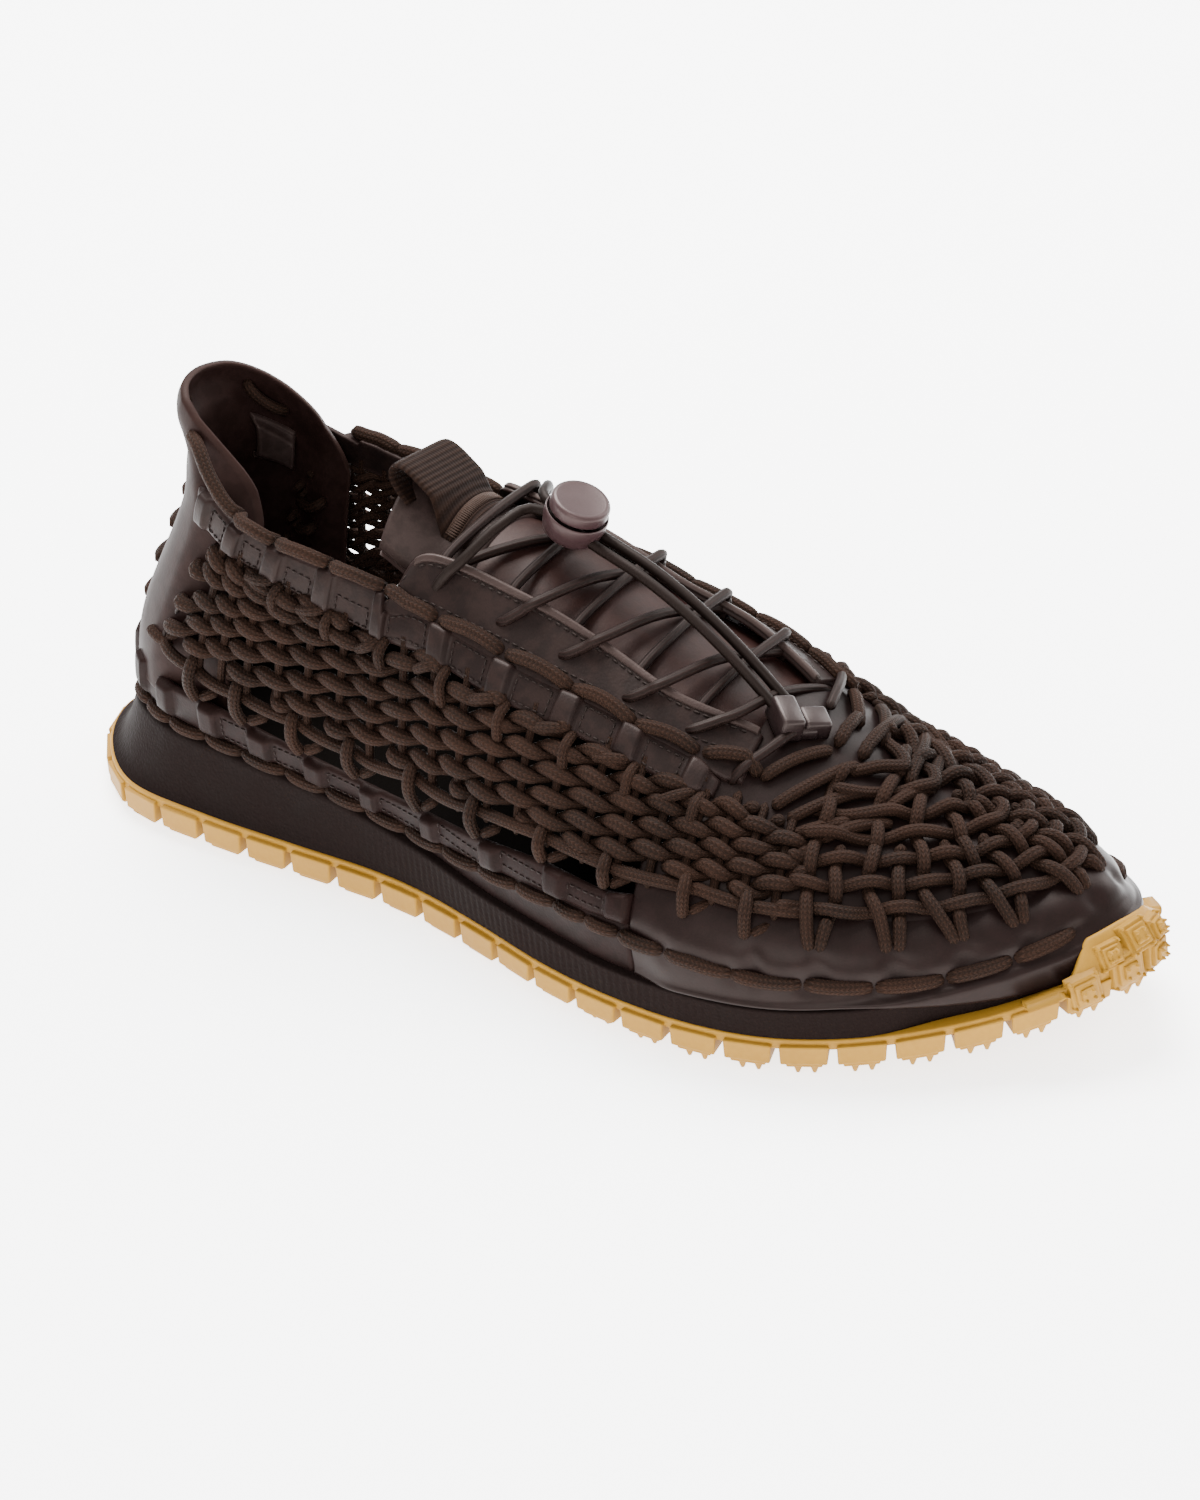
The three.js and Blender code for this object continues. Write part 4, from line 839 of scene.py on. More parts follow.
@dataclass
class Sewing:
    """Lays cords, slabs of leather and stitches on the last."""

    last: Last

    def cord(self, cut: Cut, line: Array, side: Side, radius: float, sides: int = 8, flat: float = 1.0) -> None:
        """Adds a cord along a line on the last.

        Args:
            cut: Takes it.
            line: Column, level and distance off the last at each point.
            side: Its side of the foot.
            radius: Its radius.
            sides: Faces round it.
            flat: Share of the radius kept outward.
        """
        c = side.column(line[:, 0])
        path = self.last.at(c, line[:, 1], line[:, 2])
        cut.tube(path, radius, self.last.outward(c, line[:, 1]), sides, flat)

    def strand(self, cut: Cut, knots: Knots, out: Sequence[float], side: Side, radius: float) -> None:
        """Adds a cord through knots on the last, each at its own distance off it."""
        self.cord(cut, self.last.trail(knots, out, 1.0), side, radius)

    def dash(self, cut: Cut, ends: Sequence[tuple[float, float]], side: Side, radius: float, lift: float,
             root: float = -1.5) -> None:
        """Adds one stitch of cord that comes out of the leather and goes in again.

        Args:
            cut: Takes it.
            ends: Column and level of its knots.
            side: Its side of the foot.
            radius: The cord's radius.
            lift: Distance of its middle off the last.
            root: Distance of its ends.
        """
        line = self.last.trail(ends, lift, 1.0)
        share = np.linspace(0, 1, len(line))
        line[:, 2] = root + (lift - root) * np.clip(np.sin(np.pi * share), 0, 1) ** 0.3
        self.cord(cut, line, side, radius)

    def running(self, cut: Cut, knots: Knots, marks: Sequence[float], side: Side, radius: float,
                high: float, low: float, arch: float = 0.0, square: float = 0.3, gap: float = 0.0) -> None:
        """Adds a running stitch of cord: dashes that dip into the leather at the marks.

        Args:
            cut: Takes it.
            knots: Column and level along the stitch.
            marks: Columns where the cord goes through the leather.
            side: Its side of the foot.
            radius: The cord's radius.
            high: Distance off the last in the middle of a dash.
            low: Distance at its ends.
            arch: Rise in level of a dash's middle.
            square: How flat a dash is along its top, less being flatter.
            gap: Columns left free at each side of a mark.
        """
        line = self.last.trail(knots, high, 1.0)
        marks = np.asarray(marks, float)
        for first, end in zip(marks[:-1] + gap, marks[1:] - gap):
            part = line[(line[:, 0] >= first) & (line[:, 0] <= end)]
            if len(part) < 4:
                continue
            part = self.last.spaced(part, 0.9)
            bow = np.clip(np.sin(np.pi * np.linspace(0, 1, len(part))), 0, 1)
            part[:, 1] += arch * (bow - 0.5)
            part[:, 2] = low + (high - low) * bow ** square
            self.cord(cut, part, side, radius)

    def slab(self, cut: Cut, side: Side, c: Array, low: Values, high: Values, outer: Face, inner: float,
             across: int = 14, roll: float = 1.0, thick: float = 0.0) -> None:
        """Adds a panel of leather with rolled edges.

        Args:
            cut: Takes it.
            side: Its side of the foot.
            c: Columns along it.
            low: Level of its lower edge, at all columns or each.
            high: Level of its upper edge, the same.
            outer: Distance of its face off the last: a number, an array or a function of column and level.
            inner: Distance of its back, where it has no even thickness.
            across: Points across it.
            roll: Width of the rounding at its edges.
            thick: Its even thickness, or 0.
        """
        s = (1 - np.cos(np.linspace(0, np.pi, across))) / 2
        s = 0.55 * s + 0.45 * np.linspace(0, 1, across)
        c2 = np.broadcast_to(c[:, None], (len(c), across))
        low, high = (np.broadcast_to(level, c.shape)[:, None] for level in (low, high))
        v2 = low + (high - low) * s[None, :]
        flat = self.last.at(side.column(c2), v2)
        wide = np.concatenate([np.zeros((len(c), 1)),
                               np.cumsum(np.linalg.norm(np.diff(flat, axis=1), axis=2), 1)], 1)
        run = run_of(flat[:, across // 2])
        edge = np.minimum(wide, wide[:, -1:] - wide)
        edge = np.minimum(edge, np.minimum(run, run[-1] - run)[:, None])
        curve = rounded(edge, roll)
        face = np.broadcast_to(outer(c2, v2) if callable(outer) else outer, edge.shape)
        rear = face - thick if thick else np.full(edge.shape, inner)
        top = self.last.at(side.column(c2), v2, rear + (face - rear) * (0.25 + 0.75 * curve))
        back = self.last.at(side.column(c2), v2, rear)
        lay = np.stack(np.broadcast_arrays(edge, run[:, None], wide), 2)
        cut.shell(top, back, lay, caps=False)
        caps = []
        for row, flip in ((-len(c), False), (-1, True)):
            base = row * 2 * across
            for k in range(across - 1):
                quad = (base + k, base + k + 1, base + 2 * across - 2 - k, base + 2 * across - 1 - k)
                caps.append(quad[::-1] if flip else quad)
        cut.faces += [tuple(i + cut.count for i in f) for f in caps]

    def stitches(self, cut: Cut, knots: Knots, side: Side, out: Values,
                 pitch: float = 2.3, long: float = 1.5, radius: float = 0.28) -> None:
        """Adds a line of thread stitches on the last.

        Args:
            cut: Takes them.
            knots: Column and level along the line.
            side: Its side of the foot.
            out: Distance off the last.
            pitch: Spacing of the stitches.
            long: Length of a stitch.
            radius: The thread's radius.
        """
        knots = np.asarray(knots, float)
        line = np.vstack([np.linspace(a, b, 12) for a, b in zip(knots[:-1], knots[1:])])
        c = side.column(line[:, 0])
        path = self.last.at(c, line[:, 1], out)
        up = self.last.outward(c, line[:, 1])
        run = run_of(path)
        for start in np.arange(0.3, max(run[-1] - long, 0.31), pitch):
            at = start + np.linspace(0, long, 4)
            n = unit(reading(at, run, up))
            pts = reading(at, run, path) + n * (radius * np.array([-0.6, 0.6, 0.6, -0.6]))[:, None]
            cut.tube(pts, radius, n, 5, round_ends=False)


def table(rows: Knots, c: Values, column: int = 1) -> Values:
    """A smooth reading of a table.

    Args:
        rows: Rows that start with a column of the last, in order.
        c: Where to read it.
        column: Which number of the rows to read.

    Returns:
        A number for each place.
    """
    r = np.asarray(rows, float)
    fine = open_curve(r, np.linspace(0, 1, 24 * (len(r) - 1) + 1))
    return np.interp(c, fine[:, 0], fine[:, column])


@dataclass
class SideNet:
    """The net on one side: twisted rows round standing cords, hung from the straps by ties."""

    sewing: Sewing
    side: Side
    radius: float = 2.05
    thin: float = 1.2
    lift: float = 0.4
    swing_out: float = 1.45
    swing_up: float = 1.4
    standing_radius: float = 1.2
    tie_radius: float = 1.4
    foot_radius: float = 1.6
    root: float = -3.4
    begin: float = 5.5
    airy: float = 0.86
    sparse: float = 0.68
    cut: Cut = field(default_factory=Cut)

    def build(self) -> None:
        """Builds the rows, the standing cords, the ties and the foot cord with its loops."""
        outer = self.side is Side.OUTER
        for row in NET_ROWS:
            self._row(row, 1.0 if outer else self.airy)
        for row in () if outer else LOW_ROWS:
            self._row(row, self.sparse)
        self._standing()
        self._ties()
        self._foot()
        self.cut.make(f"net_{self.side.value}", BRAIDED_CORD, "cord", replaces=["upper"] if outer else [])

    def _row(self, knots: Knots, share: float) -> None:
        """Two cords twisted along a row, crossing once at each standing cord.

        Args:
            knots: Column and level of the row's knots.
            share: Thickness, as a share of a full row's.
        """
        line = self.sewing.last.trail(knots, 0.0, 0.9)
        c, v = self.side.column(line[:, 0]), line[:, 1]
        path, n = self.sewing.last.at(c, v), self.sewing.last.outward(c, v)
        up = unit(np.cross(n, unit(np.gradient(path, axis=0)))) * -self.side.sign
        turn = np.pi * np.interp(line[:, 0], STANDING, np.arange(len(STANDING)))
        begun = smoothstep(run_of(path), 0.0, self.begin)
        for phase in (0.0, np.pi):
            a = turn + phase
            out = self.root + (self.lift - self.root + self.swing_out * np.cos(a)) * begun
            fat = self.thin + (self.radius - self.thin) * begun * np.clip(np.cos(a + 0.3), 0, 1) ** 0.5
            self.cut.tube(path + n * out[:, None] - up * (self.swing_up * np.sin(a))[:, None], fat * share, n, 8)

    def _standing(self) -> None:
        """Adds the cords that stand between the foot cord and the straps."""
        for c in STANDING[3:-2]:
            low = table(FOOT_CORD, c) - 0.03
            high = table(STRAP, c) if c < 29.4 else 0.62
            line = self.sewing.last.trail([(c + 0.1, low), (c, (low + high) / 2), (c - 0.1, high)], self.lift + 0.2)
            self.sewing.cord(self.cut, line, self.side, self.standing_radius, 6)

    def _ties(self) -> None:
        """Adds the two legs of cord that come up to each tie at the strap's foot."""
        for c, v in TIES:
            for lean, drop in ((-1.35, 0.045), (0.12, 0.125)):
                knots = [(c + np.sign(lean) * 0.1, v), (c + lean * 0.45, v - drop * 0.45), (c + lean, v - drop)]
                self.sewing.strand(self.cut, knots, (0.6, 3.2, 1.6), self.side, self.tie_radius)

    def _foot(self) -> None:
        """Adds the long cord along the foot of the net and the loops that hold it to the strap."""
        marks = [3.6, 5.6] + [loop[0] for loop in LOOPS] + [33.4]
        line = self.sewing.last.trail(FOOT_CORD, 0.0, 1.0)
        bay = np.interp(line[:, 0], marks, np.arange(len(marks)))
        line[:, 2] = 2.0 * np.abs(np.sin(np.pi * bay)) ** 0.5
        self.sewing.cord(self.cut, line, self.side, self.foot_radius)
        for c, high, low in LOOPS:
            knots = [(c - 0.1, high + 0.02), (c, high - 0.02), (c + 0.02, (high + low) / 2), (c + 0.05, low)]
            self.sewing.strand(self.cut, knots, (1.2, 3.6, 3.6, 1.0), self.side, self.foot_radius)
            knots = [(c + 0.15, low + 0.01), (c + 0.45, low + 0.03), (c + 0.85, low + 0.06)]
            self.sewing.strand(self.cut, knots, (-0.4, 0.6, -1.0), self.side, self.tie_radius)


@dataclass
class ToeWeave:
    """Basket weave of cord over the leather of the toe."""

    sewing: Sewing
    radius: float = 1.65
    lift: float = 1.5
    swing: float = 1.35
    first: float = 33.2
    feet: tuple[float, ...] = (33.9, 35.9, 37.5, 39.1, 41.2)
    spread: tuple[float, float] = (-0.45, 0.45)
    foot_spread: tuple[float, float] = (-0.14, 0.14)
    sides_low: tuple[float, ...] = (.315, .395, .475, .555, .635, .715, .80)
    tips: tuple[float, ...] = (.40, .55, .70, .86, 1.04, 1.27, 1.55)
    short_rows: float = 2.6
    cut: Cut = field(default_factory=Cut)

    def level(self, row: Values, c: Values) -> Values:
        """Level of a row, or of a place between rows.

        Args:
            row: Rows, numbered from 0 at the foot.
            c: Columns.

        Returns:
            Levels on the last.
        """
        k = np.arange(len(self.tips))
        rise = smoothstep(c, self.first - 3, TOE + 1.0) ** 1.4
        return np.interp(row, k, self.sides_low) * (1 - rise) + np.interp(row, k, self.tips) * rise

    @property
    def rising(self) -> Array:
        """Columns of the rising cords."""
        return np.asarray([f + d for f in self.feet for d in self.spread])

    def build(self) -> None:
        """Builds the rows round the toe, the cords that rise over them, and the long cords at the throat."""
        for row in range(len(self.tips)):
            self._round(row)
        for number in range(len(self.rising)):
            for side in Side:
                self._rising(number, side)
        self._radiating()
        self.cut.make("toe_weave", BRAIDED_CORD, "cord")

    def _over(self, number: Values, row: Values) -> Array:
        """How far over or under a rising cord goes at a row, from 1 to -1."""
        wave = np.cos(np.pi * number) * np.cos(np.pi * row)
        return np.sign(wave) * np.abs(wave) ** 0.6

    def _round(self, row: int) -> None:
        """Adds one row round the toe from the outer side to the inner side.

        Args:
            row: The row's number.
        """
        c = np.linspace(self.first - 0.6 + 0.25 * (row % 2) + max(0, row - 4) * 0.5, TOE, 160)
        v = self.level(row, c) + 0.008 * np.sin(2.3 * c + 1.7 * row)
        keep = v <= 1.0
        c, v = c[keep], v[keep]
        near = self.rising
        number = np.interp(c, np.concatenate([[near[0] - 0.9], near]), np.arange(-1, len(near)))
        number = number if row < self.short_rows else number / 2
        out = self.lift - self.swing * self._over(number, row)
        last = self.sewing.last
        full = np.vstack([last.at(c, v, out), last.at(COLUMNS - c, v, out)[::-1]])
        up = np.vstack([last.outward(c, v), last.outward(COLUMNS - c, v)[::-1]])
        full = even(np.column_stack([full, up]), 1.0)
        for _ in range(4):
            full[1:-1] = 0.5 * full[1:-1] + 0.25 * (full[:-2] + full[2:])
        self.cut.tube(full[:, :3], self.radius, full[:, 3:])

    def _rising(self, number: int, side: Side) -> None:
        """Adds one cord that rises from the rand over the rows to the ridge.

        Args:
            number: The cord's number.
            side: Its side of the foot.
        """
        c0, foot = self.rising[number], self.feet[number // 2] + self.foot_spread[number % 2]
        last_row = len(self.tips) - 1 if number % 2 == 0 else self.short_rows
        rows = np.linspace(-1.05, last_row, 140)
        low = table(RAND_TOP, foot) - 0.03
        start = self.level(0.0, c0)
        v = np.where(rows < 0, start + (start - low) * np.clip(rows, -1, 0),
                     self.level(np.maximum(rows, 0), c0))
        keep = v <= 0.985
        rows, v = rows[keep], v[keep]
        c = foot + (c0 - foot) * smoothstep(rows, -1, 0.6) + 0.07 * np.sin(2.1 * rows + number)
        over = np.where(rows < self.short_rows, self._over(number, rows), self._over(number / 2, rows))
        out = self.lift + self.swing * over
        out = np.where(rows < -0.3, np.interp(rows, [-1.05, -0.8, -0.3], [-1.6, 1.4, 2.3]), out)
        line = self.sewing.last.spaced(np.column_stack([c, v, out]), 1.0)
        line[1:-1, 2] = 0.5 * line[1:-1, 2] + 0.25 * (line[:-2, 2] + line[2:, 2])
        self.sewing.cord(self.cut, line, side, self.radius)

    def _radiating(self) -> None:
        """Adds the long stitches that fan out over the leather at the foot of the throat."""
        for knots in FAN:
            for side in Side:
                self.sewing.dash(self.cut, knots, side, self.radius, 1.7, -1.0)
        for knots in CROSSWAYS:
            self.sewing.dash(self.cut, knots, Side.OUTER, self.radius, 2.3, -0.6)


@dataclass
class Vamp:
    """Leather over the toe under the weave, and the rand round its foot."""

    sewing: Sewing
    thick: float = 1.6
    sunk: float = -0.2
    rand_first: float = 27.7
    feet: tuple[float, ...] = (32.0, 33.9, 35.9, 37.5, 39.1, 41.2)
    cord_radius: float = 1.9
    cord_lift: float = 2.1

    def build(self) -> None:
        """Builds the vamp and the rand."""
        self._leather()
        self._rand()

    def _leather(self) -> None:
        """Builds the leather over the toe and its wings beside the foot of the throat."""
        last, back = self.sewing.last, self.sunk - self.thick
        c = np.concatenate([np.linspace(30.05, 41.0, 60), np.linspace(41.1, 41.95, 8)])
        c2, v2 = np.meshgrid(c, np.linspace(0.16, 1.84, 90), indexing="ij")
        lay = np.stack([np.minimum(PLAIN, (c2 - c[0]) * 5), c2 * 5, v2 * 60], 2)
        cut = Cut()
        cut.shell(last.at(c2, v2, self.sunk), last.at(c2, v2, back), lay, caps=False)
        for side in Side:
            self.sewing.slab(cut, side, np.linspace(28.2, 30.4, 16), 0.5, 0.8, self.sunk, back, 12, 0.6)
        cut.make("vamp", RAND_LEATHER, "leather")

    def _rand(self) -> None:
        """Builds the rand with its puckers, and the cord that runs round it."""
        first = self.rand_first
        c = np.linspace(first, COLUMNS - first, 420)
        mirror = np.minimum(c, COLUMNS - c)
        low, high = -0.004 - 0.093 * smoothstep(mirror, 34.0, 40.0), table(RAND_TOP, mirror) + 0.16
        marks = np.asarray([m for m in RUNNING_MARKS if m > 27])

        def outer(column: Array, level: Array) -> Array:
            """Distance of the rand's face: full over the welt, drawn in at the cord and at the feet of the weave.

            Args:
                column: Columns.
                level: Levels.

            Returns:
                Distances off the last.
            """
            m = np.minimum(column, COLUMNS - column)
            top = table(RAND_TOP, m)
            tuck = bell(level - table(RUNNING, m), 0.035) * (0.55 + 0.9 * bell(nearest(m, marks), 0.3))
            tug = bell(nearest(m, self.feet), 0.32) * bell(level - top + 0.10, 0.05)
            welt = 2.9 * smoothstep(top + 0.14 - level, 0.0, 0.24) + 1.3 * smoothstep(-level, -0.03, 0.015)
            begun = 0.45 + 0.55 * smoothstep(m, first, 29.4)
            return welt * begun - 0.5 - 0.7 * tuck - 1.2 * tug

        cut, cord = Cut(), Cut()
        self.sewing.slab(cut, Side.OUTER, c, low, high, outer, -1.2, 34, 0.9)
        cut.make("toe_rand_leather", RAND_LEATHER, "leather", replaces=["toe_rand"])
        for side in Side:
            self.sewing.running(cord, RUNNING, marks, side, self.cord_radius, self.cord_lift, -2.0, square=0.16,
                                gap=0.04)
        cord.make("rand_running_cord", BRAIDED_CORD, "cord")


@dataclass
class Straps:
    """Leather straps of the sides: foxing at the foot, and the strap along the collar and eyestay."""

    sewing: Sewing
    foxing_end: float = 27.75
    bridge: float = 2.0
    fold: float = 1.8
    running_radius: float = 1.6
    rope_radius: float = 1.85
    seam: Point = (2.0, 1.3, 0.2)
    rope: Cut = field(default_factory=Cut)
    thread: Cut = field(default_factory=Cut)

    def build(self) -> None:
        """Builds the foxing strap, the collar straps and their cords and seams."""
        self._foxing()
        for side in Side:
            self._collar(side)
            self._rope(side)
        self._foxing_seams()
        self.rope.make("strap_rope", BRAIDED_CORD, "cord")
        self.thread.make("strap_seams", SEAM_THREAD, "leather")

    def _foxing(self) -> None:
        """Builds the foxing strap round the heel, raised in a bridge beside each loop, its footing and its cord."""
        c = np.linspace(-self.foxing_end, self.foxing_end, 520)
        heel, mirror = np.mod(c, COLUMNS), np.abs(c)
        low, high = (table(FOXING, mirror, k) for k in (1, 2))
        near = nearest(mirror, [-.1, 2.0, 4.0, 6.0] + [loop[0] + 0.62 for loop in LOOPS[:-2]])
        s = np.linspace(0, 1, 14)[None, :]
        raised = smoothstep(-near, -0.5, -0.32)[:, None] * smoothstep(s, 0.02, 0.35)
        outer = 1.0 + self.bridge * raised + 0.2 * np.sin(np.pi * s)
        strap, footing, cord = Cut(), Cut(), Cut()
        self.sewing.slab(strap, Side.OUTER, heel, low, high, outer, -0.5, 14, 1.0)
        # The strap and its footing take the darkened copy of the strap leather: painted shade.
        strap.make("foxing_leather", FOOT_LEATHER_SHADED, "leather", replaces=["foxing_strap"])
        self.sewing.slab(footing, Side.OUTER, heel, -0.02, low + 0.015, 0.6, -0.6, 8, 0.8)
        footing.make("foxing_footing", FOOT_LEATHER_SHADED, "leather")
        marks = [m for m in RUNNING_MARKS if m < 27.6][1:]
        for side in Side:
            self.sewing.running(cord, RUNNING, marks, side, self.running_radius, 1.8, -2.0, square=0.18)
        cord.make("foxing_running_cord", BRAIDED_CORD, "cord")

    def _window(self, side: Side, first: Sequence[float], end: Sequence[float], out: float) -> None:
        """Adds a stitched window.

        Args:
            side: Its side of the foot.
            first: Column, low level and high level of its one side.
            end: The same of its other side.
            out: Distance off the last.
        """
        (c0, low0, high0), (c1, low1, high1) = first, end
        ring = ((c0, low0), (c1, low1), (c1, high1), (c0, high0), (c0, low0))
        self.sewing.stitches(self.thread, ring, side, out, *self.seam)

    def _foxing_seams(self) -> None:
        """Adds the stitched windows of the foxing strap."""
        for a, b in zip(LOOPS[:-3], LOOPS[1:-2]):
            first, end = a[0] + 1.15, b[0] + 0.1
            low, high = (table(FOXING, (first + end) / 2, k) for k in (1, 2))
            for side in Side:
                self._window(side, *((c, low + .03, high - .025) for c in (first, end)), 1.25)

    def _collar(self, side: Side) -> None:
        """Builds one strap along the collar and eyestay, folded over each tie, and its stitched windows.

        Args:
            side: Its side of the foot.
        """
        c = np.linspace(5.1, 29.5, 340)
        centre = table(STRAP, c)
        half = STRAP_HALF * (1 - 0.5 * smoothstep(c, 28.4, 29.5))
        ties = np.asarray([5.9, 8.1] + [t[0] - 0.4 for t in TIES])
        folded = smoothstep(-nearest(c, ties), -0.46, -0.3)[:, None]
        s = np.linspace(0, 1, 14)[None, :]
        outer = 1.3 + self.fold * folded * np.sin(np.pi * (0.12 + 0.76 * s)) ** 0.4 + 0.3 * np.sin(np.pi * s)
        topline = np.minimum(table(STRAP_ROPE, c) - 0.018, 1.012)
        topline = topline * smoothstep(-c, -16.4, -15.2) * smoothstep(c, 7.4, 8.6)
        cut = Cut()
        self.sewing.slab(cut, side, c, centre - half, np.maximum(centre + half, topline), outer, -0.4, 14, 0.9)
        cut.make(f"side_strap_{side.value}", STRAP_LEATHER, "leather",
                 replaces=[f"collar_strap_{side.value}", f"eyestay_strap_{side.value}"])
        for ends in zip(ties[:-1] + 0.62, ties[1:] - 0.62):
            self._window(side, *((e, table(STRAP, e) - .038, table(STRAP, e) + .036) for e in ends), 1.65)

    def _rope(self, side: Side) -> None:
        """Adds the rope of long dashes along the strap's upper edge; on the inner side it lies on the strap.

        Args:
            side: Its side of the foot.
        """
        if side is Side.OUTER:
            self.sewing.running(self.rope, STRAP_ROPE, ROPE_MARKS, side, self.rope_radius, 2.8, -2.0, 0.012, 0.24, 0.04)
        else:
            knots = [(c, v - 0.02) for c, v in STRAP_ROPE]
            self.sewing.running(self.rope, knots, ROPE_MARKS[1:], side, self.rope_radius, 2.4, 1.2, 0.006, 0.24, -0.1)


@dataclass
class HeelCounter:
    """Tall leather panel at the heel with a tab that flares back."""

    sewing: Sewing
    edge: Rows = (
        (-8.7, .86), (-8, .94), (-7, .982), (-6, .993), (-5, .993), (-4, .982), (-3, .976), (-2, .975), (-1, .975),
        (0, .977), (1, .981), (2, .988), (3, .996), (4, 1.0), (5, 1.0), (6, .988), (7, .968), (8, .93), (8.7, .86))
    rim: Rows = (
        (-8.7, -3.4), (-8, -3.2), (-7, -3.2), (-6, -2.0), (-5, -0.8), (-4, 0.6), (-3, 1.2), (-2, 1.8), (-1, 2.4),
        (0, 3.0), (1, 3.3), (2, 3.6), (3, 3.6), (4, 2.0), (5, -1.2), (6, -5.0), (7, -8.4), (8, -9.6), (8.7, -10))
    thick: float = 1.8
    half: float = 8.6
    foot: float = 0.1
    cord_radius: float = 1.7
    dash_radius: float = 1.5
    slit_radius: float = 0.75
    patch_columns: tuple[float, float] = (3.1, 5.3)
    patch_levels: tuple[float, float] = (.67, .82)

    def face(self, c: Values, v: Values) -> Values:
        """Distance of the panel's face off the last; its top leans to the rim.

        Args:
            c: Columns, less than 0 on the inner side.
            v: Levels.

        Returns:
            Distances in millimetres.
        """
        c = (c + TOE) % COLUMNS - TOE
        below = 1.6 - 5.2 * smoothstep(np.abs(c), 4.9, 7.4)
        waist = 3.0 * bell(v - 0.87, 0.055) * smoothstep(-np.abs(c - 0.5), -4.5, -2.0)
        return below + (np.interp(c, *np.asarray(self.rim).T) - below) * smoothstep(v, 0.8, 0.99) - waist

    def build(self) -> None:
        """Builds the panel, the slits and cords in it and the patch inside."""
        self._panel()
        self._slits()
        self._cords()
        self._patch()

    def _panel(self) -> None:
        """Builds the leather panel."""
        c = np.linspace(-self.half, self.half, 190)
        cut = Cut()
        self.sewing.slab(cut, Side.OUTER, np.mod(c, COLUMNS), self.foot, table(self.edge, c), self.face, 0.0, 64, 1.0,
                         self.thick)
        cut.make("heel_counter_leather", COUNTER_LEATHER, "leather", replaces=["heel_counter"])

    def _line(self, knots: Knots, side: Side) -> Array:
        """A line on the panel's face.

        Args:
            knots: Column and level along it.
            side: Its side of the foot.

        Returns:
            Column, level and distance of each point.
        """
        line = self.sewing.last.trail(knots, 0.0, 0.8)
        line[:, 2] = self.face(-side.sign * line[:, 0], line[:, 1])
        return line

    def _slits(self) -> None:
        """Builds the slits that the net's rows start from: flat cords in the dark seam-thread finish laid on the face,
        a painted shade standing for the openings.
        """
        cut = Cut()
        for c, v in (row[0] for row in NET_ROWS if row[0][0] < 6.5):
            for side in Side:
                line = self._line(((c + 0.22, v - .022), (c + 0.3, v + .034)), side) + (0, 0, 0.05)
                self.sewing.cord(cut, line, side, self.slit_radius, 6, 0.4)
        # Dark thread finish on the leather's face: painted shade of the slits' openings.
        cut.make("heel_slits", SEAM_THREAD, "leather")

    def _cords(self) -> None:
        """Builds the cords across the back and the dashes that show inside."""
        cut = Cut()
        for v in HEEL_LEVELS:
            proud = float(self.face(0.0, v)) + 1.5
            ends = ((-1.35, v - .012), (1.35, v + .012))
            self.sewing.dash(cut, ends, Side.OUTER, self.cord_radius, proud, proud - 2.6)
        for knots in HEEL_DASHES:
            for side in Side:
                line = self._line(knots, side)
                line[:, 2] += 1.4 - self.thick - 3.9 * np.sin(np.pi * np.linspace(0, 1, len(line))) ** 0.3
                self.sewing.cord(cut, line, side, self.dash_radius)
        cut.make("heel_cords", BRAIDED_CORD, "cord")

    def _patch(self) -> None:
        """Builds the patch on each side inside the panel, bowed into the shoe between its two ends, in the paler strip
        leather: painted light, as little light reaches inside the tab.
        """
        cut = Cut()
        for side in Side:
            def hidden(c: Array, v: Array, way: float = -side.sign) -> Array:
                """Distance of the patch's hidden face."""
                bow = smoothstep(v, 0.685, 0.70) * smoothstep(-v, -0.805, -0.79)
                return self.face(way * c, v) - self.thick - 1.2 - 2.6 * bow

            columns = np.linspace(*self.patch_columns, 40)
            self.sewing.slab(cut, side, columns, *self.patch_levels, hidden, 0.0, 24, 0.7, -1.6)
        # Paler leather than the counter's: painted light inside the tab, where little light falls.
        cut.make("heel_inside_patch", STRIP_LEATHER, "leather")


@dataclass
class Eyestays:
    """Leather panels along the throat, each with a turned edge and its seams."""

    sewing: Sewing
    face: float = 1.4
    turned_face: float = 2.1
    turned_wide: float = 0.026
    thread: Cut = field(default_factory=Cut)

    def build(self) -> None:
        """Builds both panels, their turned edges and seams."""
        for side in Side:
            self._panel(side)
            self._edge(side)
        self.thread.make("eyestay_seams", SEAM_THREAD, "leather")

    def _panel(self, side: Side) -> None:
        """Builds one panel from the strap to the throat's edge.

        Args:
            side: Its side of the foot.
        """
        c = np.linspace(14.6, 30.3, 210)
        low = table(STRAP, c) + STRAP_HALF - 0.025
        high = low + 0.03 + (table(THROAT_EDGE, c) - low - 0.03) * smoothstep(c, 14.4, 16.9)
        cut = Cut()
        self.sewing.slab(cut, side, c, low, high, self.face, -0.6, 26, 1.2)
        cut.make(f"eyestay_panel_{side.value}", STRAP_LEATHER, "leather", replaces=[f"eyestay_{side.value}"])

    def _edge(self, side: Side) -> None:
        """Builds the turned edge along the throat, and the seams beside it and along the panel's foot.

        Args:
            side: Its side of the foot.
        """
        cut = Cut()
        c = np.linspace(17.0, 30.1, 170)
        edge = table(THROAT_EDGE, c)
        self.sewing.slab(cut, side, c, edge - self.turned_wide, edge + 0.003, self.turned_face, 0.6, 10, 0.7)
        cut.make(f"eyestay_edge_{side.value}", STRIP_LEATHER, "leather")
        for level in (edge - 0.034, np.maximum(table(STRAP_ROPE, c) + 0.028, edge - 0.19)):
            self.sewing.stitches(self.thread, np.column_stack([c, level])[4:-4:8], side, 1.45, 2.4, 1.6, 0.24)
        self.sewing.stitches(self.thread, ((15.3, .90), (16.2, .945), (16.9, .955)), side, 1.4, 2.4, 1.5, 0.22)


